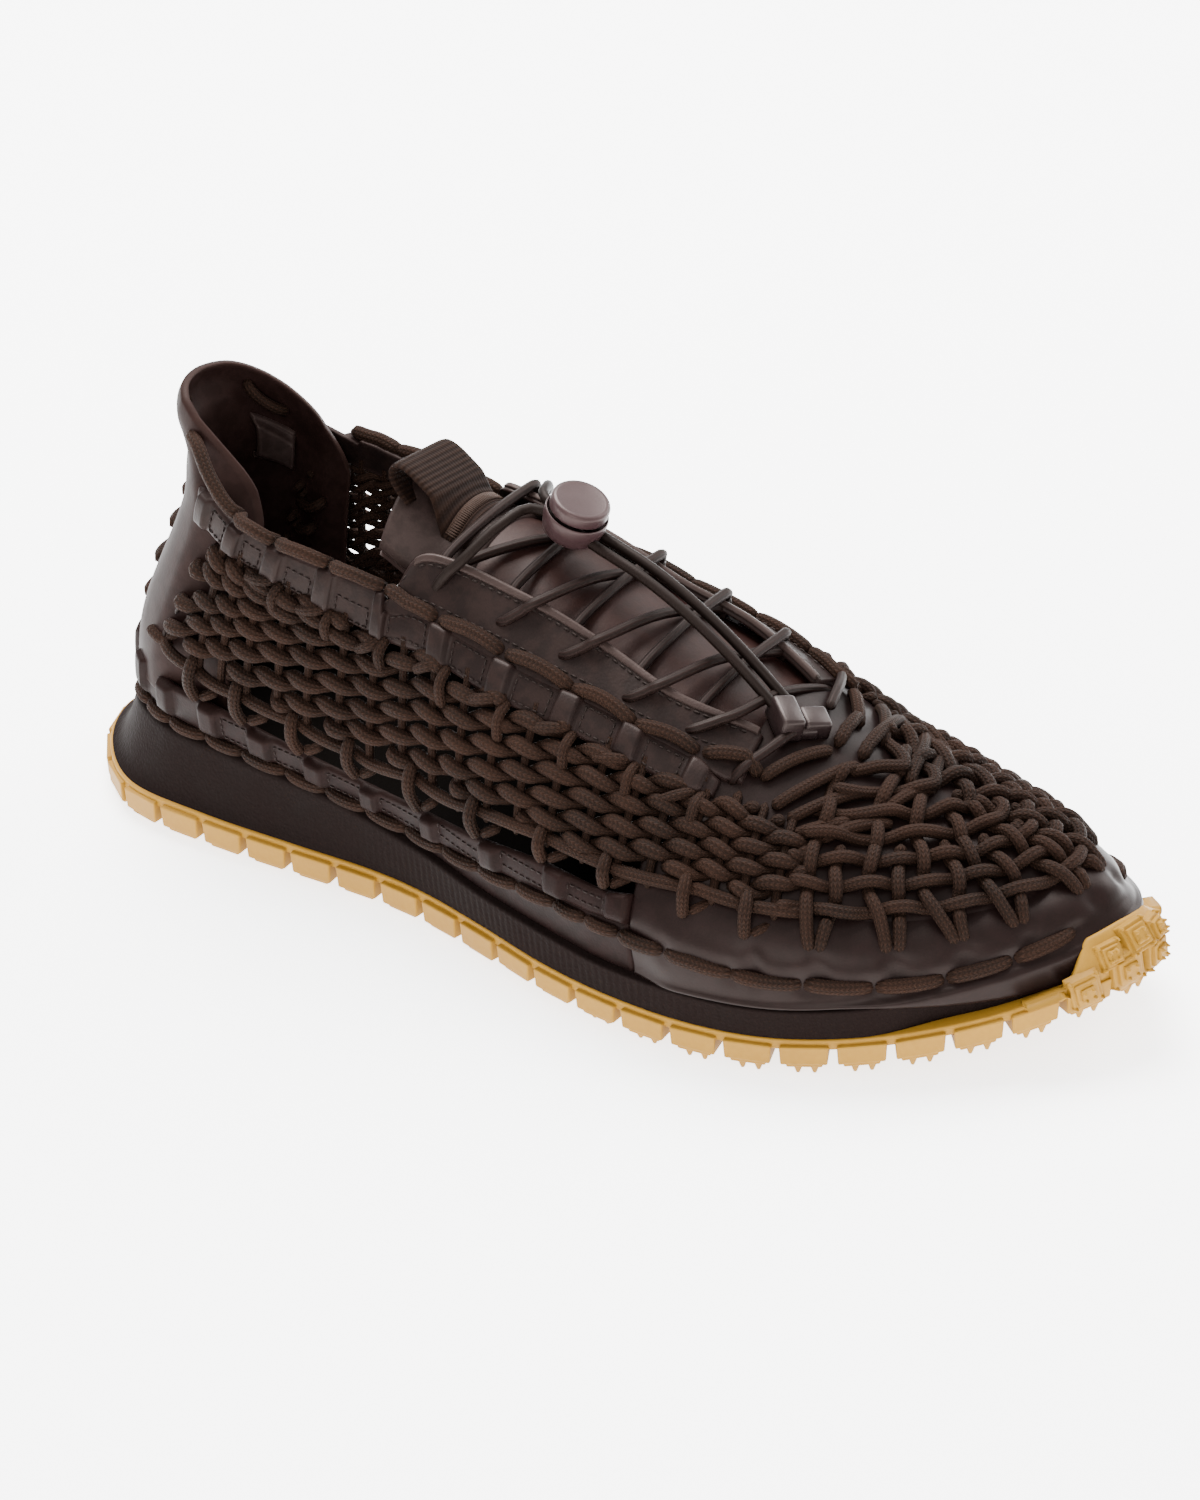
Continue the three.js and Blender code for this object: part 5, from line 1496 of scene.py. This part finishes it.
@dataclass
class Tongue:
    """Padded leather tongue with a webbing pull loop at its top."""

    # Place along the shoe, height, half width and drop at the sides.
    rows: Rows = (
        (97, 104, 20, 13), (108, 98.5, 20, 13), (122, 93.5, 21, 9.5), (140, 89, 22, 8.5), (160, 81.7, 22, 7.8),
        (180, 73.4, 24, 6.6), (195, 66, 24, 5), (207, 59, 22, 4))
    middle: float = 1.0
    thick: float = 3.4
    slope: float = 0.4
    lean: float = 0.7
    crown: float = 2.2
    laces: tuple[float, ...] = (118, 133, 149, 165, 180, 192)
    pad_ends: tuple[float, float] = (97, 207)
    tab_ends: tuple[float, float] = (96.6, 121)
    half: float = 18.0
    loop_at: float = 103.0
    loop_half: float = 12.0
    loop_thick: float = 1.7
    loop_twist: float = 0.17
    loop_knots: Rows = (
        (-2.5, 0, 99.0), (-5.8, 0, 102.6), (-7.3, 0, 106.2), (-5.8, 0, 108.9), (-2.6, 0, 108.5), (2.0, 0, 105.2),
        (6.5, 0, 101.4), (10.5, 0, 98.4), (14, 0, 96.2))

    def surface(self, x: Array, share: Array, down: Values) -> Array:
        """Points of the tongue.

        Args:
            x: Places along it.
            share: Places across it, from -1 to 1.
            down: Depth under its face.

        Returns:
            Points in the shoe's coordinates.
        """
        z, half, drop = (table(self.rows, x, k) for k in (1, 2, 3))
        p = np.stack([x, self.middle + half * share, z - drop * np.abs(share) ** self.crown], -1)
        n = unit(np.stack([np.full_like(share, self.slope), share * self.lean, np.ones_like(share)], -1))
        return p - n * np.broadcast_to(down, share.shape)[..., None]

    def build(self) -> None:
        """Builds the pad, its top tab and the pull loop."""
        self._pad()
        self._tab()
        self._loop()

    def _pad(self) -> None:
        """Builds the pad with a rolled edge and low swells between the laces."""
        first, end = self.pad_ends
        x, s = np.meshgrid(np.linspace(first, end, 120), np.linspace(-1, 1, 41), indexing="ij")
        puff = 0.48 * bell(nearest(x - 6, self.laces), 4.5) * np.clip(1 - s**2, 0, 1) * smoothstep(x, 118, 128)
        edge = np.minimum(np.minimum(x - first, end - x), (1 - np.abs(s)) * self.half)
        rolled = self.thick * 0.5 * (1 - rounded(edge, 1.6))
        cut = Cut()
        cut.shell(self.surface(x, s, rolled - puff), self.surface(x, s, self.thick - rolled),
                  np.stack([edge, x, s * self.half], 2))
        piece = cut.make("tongue_pad", TONGUE_LEATHER, "tongue_leather", replaces=["tongue"])

    def _tab(self) -> None:
        """Builds the leather tab sewn over the tongue's top."""
        first, end = self.tab_ends
        x, s = np.meshgrid(np.linspace(first, end, 30), np.linspace(-0.98, 0.98, 31), indexing="ij")
        edge = np.minimum(end - x, (0.98 - np.abs(s)) * self.half)
        cut = Cut()
        cut.shell(self.surface(x, s, -0.2 - 0.7 * rounded(edge, 0.8)), self.surface(x, s, 0.3),
                  np.stack([edge, x, s * self.half], 2))
        cut.make("tongue_top_tab", STRIP_LEATHER, "tongue_leather")

    def _loop(self) -> None:
        """Builds the loop of webbing, twisted up to the outer side and sewn down on the tab's front."""
        spine = through(self.loop_knots, 0.7)
        t = unit(np.gradient(spine, axis=0))
        n = np.stack([-t[:, 2], np.zeros(len(t)), t[:, 0]], 1)
        y = np.linspace(-self.loop_half, self.loop_half, 37)
        run = run_of(spine)
        lay = np.stack(np.broadcast_arrays(run[:, None], y, 0.0), 2)
        edge = np.sqrt(np.clip(1 - (np.abs(y) / (self.loop_half + .02)) ** 12, 0.03, 1))
        sewn = smoothstep(run, 24, 29)[:, None]
        faces = []
        for half in (self.loop_thick / 2, -self.loop_thick / 2):
            p = spine[:, None] + n[:, None] * (half * edge)[None, :, None]
            x, across = self.loop_at + p[..., 0], np.broadcast_to(self.middle + y, p.shape[:2])
            lying = self.surface(x, np.clip(y / 20, -1, 1) + 0 * x, -1.1)[..., 2] + half
            free = p[..., 2] - self.loop_twist * y
            faces.append(np.stack([x, across, free * (1 - sewn) + lying * sewn], 2))
        cut = Cut()
        cut.shell(*faces, lay)
        cut.make("pull_loop_webbing", PULL_WEBBING, "webbing", replaces=["tongue_pull_loop"])
        self._tack(faces[0], run)

    def _tack(self, face: Array, run: Array) -> None:
        """Builds the bar of zigzag thread that sews the loop down.

        Args:
            face: Points of the loop's face.
            run: Length along the loop at each row of them.
        """
        thread = Cut()
        rows = [int(np.argmin(np.abs(run - at))) for at in (28.6, 31.6)]
        places = np.linspace(1, face.shape[1] - 2, 70)
        whole = np.arange(face.shape[1])
        bars = [reading(places, whole, face[row]) for row in rows]
        for k in range(len(places) - 1):
            ends = np.stack([bars[0][k], bars[1][k + (k % 2)]]) + np.array([0, 0, 0.15])
            thread.tube(even(ends, 1.0), 0.2, OUT_OF_THROAT, 5, round_ends=False)
        thread.make("pull_loop_tack", TACK_THREAD, "webbing")


@dataclass
class Lacing:
    """Round elastic crossed over the tongue, with two ends that run through the lock to the hook."""

    last: Last
    diameter: float = 2.7
    lock_at: Point = (137.9, 2, 93.6)
    tilt: float = 0.36
    hook_at: Point = (203, 0.8, 69.8)
    spread: float = 2.4
    in_lock: float = 6.5
    reach: float = 9.1
    # Column, level and distance off the last: a free end's start, and the strand at the foot of each side.
    start: Rows = ((18.3, .875, 0.6), (18.7, .92, 2.8), (19.15, .975, 4.0))
    bottom: Rows = (
        (29.8, .64, -1.5), (30.1, .68, 2.2), (30.6, .76, 2.6), (31.1, .86, 2.6), (31.5, .95, 1.4))
    cut: Cut = field(default_factory=Cut)

    def build(self) -> list[Piece]:
        """Builds the crossings and the two free ends.

        Returns:
            The two free ends, the outer one first.
        """
        for row, (c, _) in enumerate(HOLES):
            first = self._over(Side.OUTER, row) if row else self._under(Side.OUTER, c + 0.7)[::-1]
            self._crossing(first, self._under(Side.INNER, c + 2.8), 2.4)
            self._crossing(self._over(Side.INNER, row), self._under(Side.OUTER, c + 0.1), 1.4)
        for side in Side:
            self._strand(self._points(side, self.bottom))
        self.cut.make("lace_crossed", ROUND_ELASTIC, "elastic", replaces=["lace_crossings"])
        return [self._end(side) for side in Side]

    def place(self) -> Array:
        """Rows of the lock's three axes, then its foot."""
        s, c = math.sin(self.tilt), math.cos(self.tilt)
        return np.array([(c, 0, -s), (0, 1, 0), (s, 0, c), self.lock_at])

    def _points(self, side: Side, knots: Knots) -> list[Array]:
        """Points of knots given by column, level and distance off the last."""
        return [self.last.at(side.column(c), v, out) for c, v, out in knots]

    def _over(self, side: Side, row: int) -> list[Array]:
        """A strand from its hole over the panel to the throat's edge.

        Args:
            side: Its side of the foot.
            row: The hole's number.

        Returns:
            Its points.
        """
        c, v = HOLES[row]
        ahead = 1.15 if side is Side.OUTER else 0.3
        rise = table(THROAT_EDGE, c + ahead) - v
        return self._points(side, [(c + ahead * a, v + rise * b, out) for a, b, out in (
            (0, 0, -0.8), (.25, .12, 1.5), (.65, .55, 2.7), (1, 1, 3.4))])

    def _under(self, side: Side, c: float) -> list[Array]:
        """Points of a strand that goes in under the throat's edge at column c."""
        edge = table(THROAT_EDGE, c)
        return self._points(side, ((c, edge, -0.6), (c + 0.2, edge - 0.04, -2.6)))

    def _strand(self, knots: Sequence[Array]) -> None:
        """Adds a strand of elastic through knots."""
        self.cut.tube(through(np.vstack(knots), 1.0), self.diameter / 2, OUT_OF_THROAT, 10)

    def _crossing(self, first: list[Array], end: list[Array], hump: float) -> None:
        """Adds a strand across the tongue from one side's points to the other's, its middle raised."""
        middle = (first[-1] + end[0]) / 2 + np.array([0, 0, hump])
        self._strand([*first, middle, *end])

    def route(self, side: Side) -> Array:
        """The way of a free end: out of its hole, through the lock and on to the hook.

        Args:
            side: Its side of the foot.

        Returns:
            Points in the shoe's coordinates.
        """
        y, place = side.sign * self.spread, self.place()
        first = self._points(side, self.start)
        back, front = (np.array([x, y, self.in_lock]) @ place[:3] + place[3] for x in (-self.reach, self.reach))
        hook = np.asarray(self.hook_at) + np.array([-1.0, y - 4.5, -1.6])
        lead = (first[-1] + back) / 2 + np.array([0, 0, 2.6])
        tail = [front + (hook - front) * share + np.array([0, 0, rise])
                for share, rise in ((.25, 3.2), (.5, 4.2), (.75, 3.1))]
        return through(np.vstack([*first, lead, back, front, *tail, hook]), 3.0)

    def _end(self, side: Side) -> Piece:
        """Builds one free end as a curve.

        Args:
            side: Its side of the foot.

        Returns:
            The piece.
        """
        path = (self.route(side) + SHIFT) * MM
        curve = bpy.data.curves.new(f"lace_end_{side.value}", "CURVE")
        curve.dimensions, curve.bevel_depth, curve.bevel_resolution = "3D", self.diameter / 2 * MM, 4
        line = curve.splines.new("POLY")
        line.points.add(len(path) - 1)
        line.points.foreach_set("co", np.column_stack([path, np.ones(len(path))]).ravel())
        piece = stand(curve.name, curve)
        curve.materials.append(ROUND_ELASTIC.material())
        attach(piece, SHOE)
        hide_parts(f"lace_lead_{side.value}", f"lace_tail_{side.value}")
        return piece

    def declare(self, ends: Sequence[Piece], fittings: Sequence[Piece]) -> None:
        """Args:
            ends: The two ends, the outer one first.
            fittings: The pieces on them; not used.
        """
        for side, piece in zip(Side, ends):
            path = (self.route(side) + SHIFT) * MM
            LOG.info("%s: %.1f mm long", piece.name, run_of(path)[-1] / MM)


@dataclass
class CordLock:
    """Push-button cord lock and the hook that ends the elastic."""

    lacing: Lacing
    radius: float = 8.1
    height: float = 10.9
    button_radius: float = 7.5
    button_base: float = 11.2
    hook_yaw: float = math.radians(40)
    hook_shift: Point = (3.5, -5.0, -3.6)

    def build(self) -> list[Piece]:
        """Builds the barrel, the button and the hook.

        Returns:
            The three pieces.
        """
        barrel, button, place = Cut(), Cut(), self.lacing.place()
        r, h = self.radius, self.height
        barrel.lathe(np.array([(0, 4), (r - 2.2, 4), (r - 1.4, 4.2), (r - .9, 4.8), (r - .5, 6.0), (r - .2, h - 3.2),
                               (r, h - 2.6), (r, h - .5), (r - .12, h - .1), (r - .3, h), (r - .4, h - .3),
                               (r - .4, h - 3.6), (5.2, h - 3.9), (5.2, 6.0), (0, 6.0)], float), place)
        r, h = self.button_radius, self.button_base
        button.lathe(np.array([(0, h + .15), (4.7, h + .15), (5.2, h), (r - .5, h), (r - .12, h + .3), (r, h + .8),
                               (r, h + 2.6), (r - .15, h + 3.1), (r - .5, h + 3.5), (r - 1.1, h + 3.65),
                               (r - 1.5, h + 3.6), (r - 2.0, h + 3.5), (0, h + 3.55)], float), place)
        return [barrel.make("lock_barrel", MOULDED_PLASTIC, "plastic", replaces=["cord_lock_barrel"]),
                button.make("lock_button", MOULDED_PLASTIC, "plastic", BUTTON, replaces=["cord_lock_button"]),
                self._hook()]

    def _hook(self) -> Piece:
        """Builds the hook: a long block that holds the elastic, and a shorter one beside it across a slot.

        Returns:
            The piece.
        """
        ahead, over, up = self.lacing.place()[:3]
        s, c = math.sin(self.hook_yaw), math.cos(self.hook_yaw)
        axes = np.array([c * ahead - s * over, s * ahead + c * over, up])
        foot = np.asarray(self.lacing.hook_at) + np.asarray(self.hook_shift)
        cut = Cut()
        for low, high in (((-5.6, -7.2, -2.6), (5.2, -0.6, 4.0)), ((-3.2, -2.0, -2.8), (4.6, 4.0, 0.6)),
                          ((-3.2, -0.4, -2.8), (4.2, 7.4, 2.4))):
            (x0, y0, z0), (x1, y1, z1) = low, high
            ring = np.array([(x0, y0), (x1, y0), (x1, y1), (x0, y1)], float)
            top = ring.mean(0) + (ring - ring.mean(0)) * 0.9
            cut.block(np.column_stack([ring, np.full(4, z0)]) @ axes + foot,
                      np.column_stack([top, np.full(4, z1)]) @ axes + foot)
        return cut.make("lace_hook", HOOK_PLASTIC, "plastic", replaces=["cord_hook"], bevel=0.9)


@dataclass
class Sole:
    """Gum outsole with its lugs, foam midsole and insole."""

    last: Last
    pitch: float = 13.8
    gap: float = 1.9
    rib: float = 0.11
    rib_pitch: float = 2.1
    stepped_from: float = 150.0
    spike_radius: float = 1.2
    toe_spike_radius: float = 0.6
    bar_inset: float = 17.0
    # Inset and drop of the lip's rings.
    lip: Rows = (
        (6.0, 0.0), (1.3, 0.0), (0.9, .12), (0.7, .5), (0.7, GUM_LIP - .4), (1.0, GUM_LIP), (6.0, GUM_LIP))
    # Start and end of the bars across the tread.
    bars: Rows = (
        (16, 32), (36, 50), (54, 68), (156, 170), (175, 190), (195, 209), (214, 228), (233, 247))
    # Column and level along the flap's crest.
    crest: Rows = (
        (38, 0), (40.0, .04), (40.3, .046), (41.25, .048), (41.8, .035), (42.3, .015), (42.8, -.01), (43.4, -.045),
        (44.2, -.08), (46, -.08))
    # Column, share of the flap's height and size of the lugs on it.
    toe_lugs: Rows = (
        (40.65, .46, 7.0), (41.4, .52, 8.5), (42.15, .42, 7.0), (39.95, .08, 9.0), (40.95, .10, 10.0),
        (41.95, .06, 9.0))

    def build(self) -> None:
        """Builds the midsole, the insole and the outsole."""
        self._midsole()
        self._insole()
        self._lip()
        self._lugs()
        self._flap()

    @staticmethod
    def _rim(c: Array, inset: Values, rise: Values) -> Array:
        """Points of the sole's outline, drawn in by inset and set off the gum's upper face by rise."""
        p = sole_ring(c, inset)
        return np.column_stack([p, gum_top(p[:, 0]) + rise])

    def _midsole(self) -> None:
        """Builds the foam wedge: a hollow shelf at the heel, fine upright ribs from the waist forward."""
        c = np.linspace(0, COLUMNS, 1680, endpoint=False)
        from_toe = np.minimum(np.abs(c - TOE), COLUMNS - np.abs(c - TOE)) / 3
        low = sole_ring(c, 4.6 - 3.7 * smoothstep(from_toe, 1.6, 2.4))
        top = self.last.at(c, 0.0, 2.6)[:, :2]
        top = top + (low - top) * smoothstep(-from_toe, -2.4, -1.6)[:, None] * 0.6
        run = run_of(low)
        rings = []
        for share in np.concatenate([[0.0, 0.03], np.linspace(0.1, 0.9, 9), [0.97, 1.0]]):
            p = low + (top - low) * math.sqrt(share)
            ribs = self.rib * np.sin(2 * np.pi * run / self.rib_pitch) * math.sin(math.pi * share) ** 0.5
            ribs *= smoothstep(p[:, 0], 85, 125) * (1 - 0.85 * smoothstep(p[:, 0], 185, 235))
            d = np.roll(p, -1, 0) - np.roll(p, 1, 0)
            p = p + unit(np.stack([d[:, 1], -d[:, 0]], 1)) * (ribs - 0.5 * (share in (0.0, 1.0)))[:, None]
            z0, z1 = gum_top(p[:, 0]) + 0.1, feather(p[:, 0]) - 0.2
            rings.append(np.column_stack([p, z0 + (z1 - z0) * share]))
        inner = rings[-1] * (1, 0.5, 1)
        inside = self.last.at(c, 0.0, -1.5) + (0, 0, 0.6)
        cut = Cut()
        cut.grid(np.stack([*rings, inside, inner]), None, around=True)
        cut.make("midsole_foam", SOLE_FOAM, "foam", replaces=["midsole"])

    def _insole(self) -> None:
        """Builds the footbed."""
        c, s = np.linspace(0.4, TOE - 0.4, 90), np.linspace(0, 1, 25)
        a, b = self.last.at(c, 0.0, -1.4), self.last.at(COLUMNS - c, 0.0, -1.4)
        p = a[:, None] + (b - a)[:, None] * s[None, :, None]
        edge = np.minimum(s, 1 - s) * 2
        p[..., 2] = feather(p[..., 0]) + 3.4 + 2.0 * (1 - edge[None, :]) ** 2 * smoothstep(-p[..., 0], -150, -60)
        cut = Cut()
        cut.shell(p, p - (0, 0, 3.2), None)
        cut.make("insole_footbed", INSOLE_CLOTH, "webbing", replaces=["insole"])

    def _lip(self) -> None:
        """Builds the gum's lip and its underside."""
        c = np.linspace(0, COLUMNS, 420, endpoint=False)
        rings = [self._rim(c, inset, -drop) for inset, drop in self.lip]
        cut = Cut()
        cut.grid(np.stack([*rings, rings[-1] * (1, 0.05, 1)]), None, around=True)
        cut.make("outsole_lip", GUM_RUBBER, "gum_rubber", replaces=["outsole"])

    def _lugs(self) -> None:
        """Builds the edge lugs with their steps and spikes, and the bars across the tread."""
        fine = np.linspace(0, COLUMNS, 3000)
        run = run_of(sole_ring(fine))
        count = int(round(run[-1] / self.pitch))
        cut, spikes = Cut(), Cut()

        def ring(s0: float, s1: float, insets: tuple[float, float], drop: float) -> Array:
            """Four corners of a lug's level face, from s0 to s1 along the outline and inset from it."""
            ends = np.interp([s0, s1], run, fine)
            return np.vstack([self._rim(ends, insets[0], -drop), self._rim(ends[::-1], insets[1], -drop)])

        for n in range(count):
            s0, s1 = n * run[-1] / count + self.gap / 2, (n + 1) * run[-1] / count - self.gap / 2
            stepped = sole_ring(np.interp([(s0 + s1) / 2], run, fine))[0, 0] > self.stepped_from
            foot, step = (6.6, 7.8) if stepped else (7.4, 8.6)
            cut.block(ring(s0 + .3, s1 - .3, (-0.4, 12.5), foot), ring(s0, s1, (-0.7, 13.0), 1.3))
            cut.block(ring(s0 + 1.6, s1 - 1.6, (0.5, 11.5), step), ring(s0 + 1.4, s1 - 1.4, (0.3, 12.0), foot - .4))
            for share in (0.36, 0.7) if stepped else (0.3, 0.7):
                for inset in (1.9, 8.0):
                    p = self._rim(np.interp([s0 + (s1 - s0) * share], run, fine), inset, .2 - step)[0]
                    length = (GUM_HEIGHT - step + .2) * (0.45 + 0.55 * float(smoothstep(p[0], 165, 215)))
                    self._spike(spikes, p, np.array([0, 0, -1.0]), self.spike_radius, length)
        for first, end in self.bars:
            self._bar(cut, first, end)
        cut.make("outsole_lugs", GUM_RUBBER, "gum_rubber", smooth=False, bevel=0.45)
        spikes.make("outsole_spikes", GUM_RUBBER, "gum_rubber")

    def _bar(self, cut: Cut, first: float, end: float) -> None:
        """Adds one bar across the tread.

        Args:
            cut: Takes the bar.
            first: Where it starts along the shoe.
            end: Where it ends.
        """
        x = np.array([first, end, end, first], float)
        outer, inner = (np.interp(x, SOLE_ROWS[:, 0], SOLE_ROWS[:, k]) - self.bar_inset for k in (1, 2))
        y = np.concatenate([-outer[:2], inner[2:]])
        cut.block(np.column_stack([x, y, spring(x)]), np.column_stack([x, y, gum_top(x) - GUM_LIP + .6]))

    @staticmethod
    def _spike(cut: Cut, foot: Array, way: Array, radius: float, length: float) -> None:
        """Adds one blunt spike.

        Args:
            cut: Takes the spike.
            foot: Where it stands.
            way: Its direction.
            radius: Its radius at the foot.
            length: Its length.
        """
        rise = np.array([-0.6, 0.0, 0.55, 0.9, 1.0]) * length
        size = np.array([1.25, 1.0, 0.62, 0.38, 0.12]) * radius
        up = (1, 0, 0) if abs(way[0]) < 0.9 else (0, 1, 0)
        cut.tube(foot + way * rise[:, None], size, up, 10, round_ends=False)

    def _flap(self) -> None:
        """Builds the flap over the toe with its stepped lugs."""
        c, s = np.linspace(38.6, 44.6, 110), np.linspace(0, 1, 30)
        climb = (smoothstep(c, 39.45, 40.45) * smoothstep(-c, -44.0, -43.1))[:, None]
        foot = self._rim(c, 0.1, -2.0)
        knee = self._rim(c, 0.1, 0.4) + climb * np.array([-0.6, 0, 2.6])
        brink = knee + np.array([0, 0, 0.3])
        crest = brink + climb * (self.last.at(c, table(self.crest, c), 3.2) - brink)
        middle = (knee + crest) / 2 + climb * np.array([0.5, 0, 0.5])
        face = np.stack([open_curve(np.stack(rib), s) for rib in zip(foot, knee, middle, crest)])
        along = np.gradient(face, axis=0)
        n = unit(np.cross(along, np.gradient(face, axis=1)))
        height = run_of(face[len(c) // 2])[-1] * (0.15 + 0.85 * climb)
        edge = np.minimum((1 - s)[None, :] * height, (np.minimum(c - c[0], c[-1] - c) * 7)[:, None])
        lay = np.stack(np.broadcast_arrays(edge, c[:, None] * 6, s * 20), 2)
        cut, lugs, spikes = Cut(), Cut(), Cut()
        cut.shell(face - n * 1.1 * (1 - rounded(edge, 1.2)[..., None]), face - n * 2.6, lay)
        cut.make("outsole_toe_flap", GUM_RUBBER, "gum_rubber")
        for column, share, size in self.toe_lugs:
            i, j = int(np.argmin(np.abs(c - column))), int(round(share * (len(s) - 1)))
            self._toe_lug(lugs, spikes, face[i, j], unit(along[i, j]), unit(n[i, j]), size)
        lugs.make("outsole_toe_lugs", GUM_RUBBER, "gum_rubber", smooth=False, bevel=0.25)
        spikes.make("outsole_toe_spikes", GUM_RUBBER, "gum_rubber")

    def _toe_lug(self, lugs: Cut, spikes: Cut, middle: Array, across: Array, way: Array, size: float) -> None:
        """Adds one stepped lug of the flap with its spikes.

        Args:
            lugs: Takes the lug.
            spikes: Takes the spikes.
            middle: The lug's place on the flap.
            across: Direction along the flap there.
            way: Direction out of the flap.
            size: Width of the lug.
        """
        up = np.cross(way, across)
        corners = np.stack([across * a + up * b for a, b in ((-1, -1), (1, -1), (1, 1), (-1, 1))]) * size
        for part, rise in ((0.5, 1.3), (0.36, 2.3), (0.22, 3.2)):
            lugs.block(middle + corners * part - way * 1.2, middle + corners * part * 0.88 + way * rise)
        for corner in corners:
            for out, reach, length in ((3.0, 0.13, 1.1), (1.1, 0.4, 1.2)):
                self._spike(spikes, middle + way * out + corner * reach, way, self.toe_spike_radius, length)


@dataclass
class Studio:
    """Floor, soft light and camera."""

    eye: Point = (687.8, -879.1, 685.2)
    heading: float = math.radians(28)
    pitch: float = math.radians(29.5)
    target: Point = (149.0, -3.0, 40.0)
    lens: float = 117.0
    floor_half: float = 6.0
    paper_glow: float = 3.0
    sky: float = 1.4
    # Name, place, width and power of the lamps.
    lamps: tuple[tuple[str, Point, float, float], ...] = (
        ("top", (-0.45, 0.45, 1.3), 1.1, 72), ("front", (0.5, -1.2, 0.9), 1.0, 15), ("rim", (0.5, 1.2, 0.7), 0.8, 15))

    def build(self) -> None:
        """Builds the floor, the lights and the camera."""
        self._camera()
        self._floor()
        self._light()

    def _camera(self) -> None:
        """Puts the camera at the photograph's place, turned as little as it can be to face the shoe."""
        sa, ca, se, ce = math.sin(self.heading), math.cos(self.heading), math.sin(self.pitch), math.cos(self.pitch)
        axis = Vector((-sa * ce, ca * ce, -se))
        right = Vector((ca, sa, 0))
        eye = Vector(((np.asarray(self.eye) + SHIFT) * MM).tolist())
        goal = Vector(((np.asarray(self.target) + SHIFT) * MM).tolist()) - eye
        turn = axis.rotation_difference(goal)
        right, back = turn @ right, -goal.normalized()
        up = back.cross(right)
        data = bpy.data.cameras.new("camera")
        data.lens, data.sensor_width, data.clip_start, data.clip_end = self.lens, 36.0, 0.05, 50.0
        camera = stand("camera", data)
        camera.matrix_world = Matrix.Translation(eye) @ Matrix((right, up, back)).transposed().to_4x4()
        bpy.context.scene.camera = camera

    def _floor(self) -> None:
        """Lays a pale floor."""
        mesh, h = bpy.data.meshes.new("floor"), self.floor_half
        mesh.from_pydata([(-h, -h, 0), (h, -h, 0), (h, h, 0), (-h, h, 0)], [], [(0, 1, 2, 3)])
        paper = PALE_FLOOR.material()
        sockets = paper.node_tree.nodes["Principled BSDF"].inputs
        sockets["Emission Color"].default_value = (1, 1, 1, 1)
        sockets["Emission Strength"].default_value = self.paper_glow
        mesh.materials.append(paper)
        floor = stand("floor", mesh)

    def _light(self) -> None:
        """Hangs the soft lights."""
        world = bpy.data.worlds.new("studio")
        world.use_nodes = True
        sockets = world.node_tree.nodes["Background"].inputs
        sockets[0].default_value, sockets[1].default_value = (1, 1, 1, 1), self.sky
        bpy.context.scene.world = world
        for name, place, size, power in self.lamps:
            data = bpy.data.lights.new(name, "AREA")
            data.shape, data.size, data.energy = "DISK", size, power
            lamp = stand(name, data)
            lamp.location = place
            lamp.rotation_euler = (Vector((0, 0, 0.05)) - Vector(place)).to_track_quat("-Z", "Y").to_euler()


def main() -> None:
    """Builds the shoe's pieces in order."""
    logging.basicConfig(level=logging.INFO, format="%(message)s")
    Studio().build()
    last = Last()
    sewing = Sewing(last)
    lacing = Lacing(last)
    ends = lacing.build()
    lacing.declare(ends, CordLock(lacing).build())
    for side in Side:
        SideNet(sewing, side).build()
    Vamp(sewing).build()
    ToeWeave(sewing).build()
    Straps(sewing).build()
    HeelCounter(sewing).build()
    Eyestays(sewing).build()
    Tongue().build()
    Sole(last).build()
    bpy.context.view_layer.update()


if __name__ == "__main__":
    main()
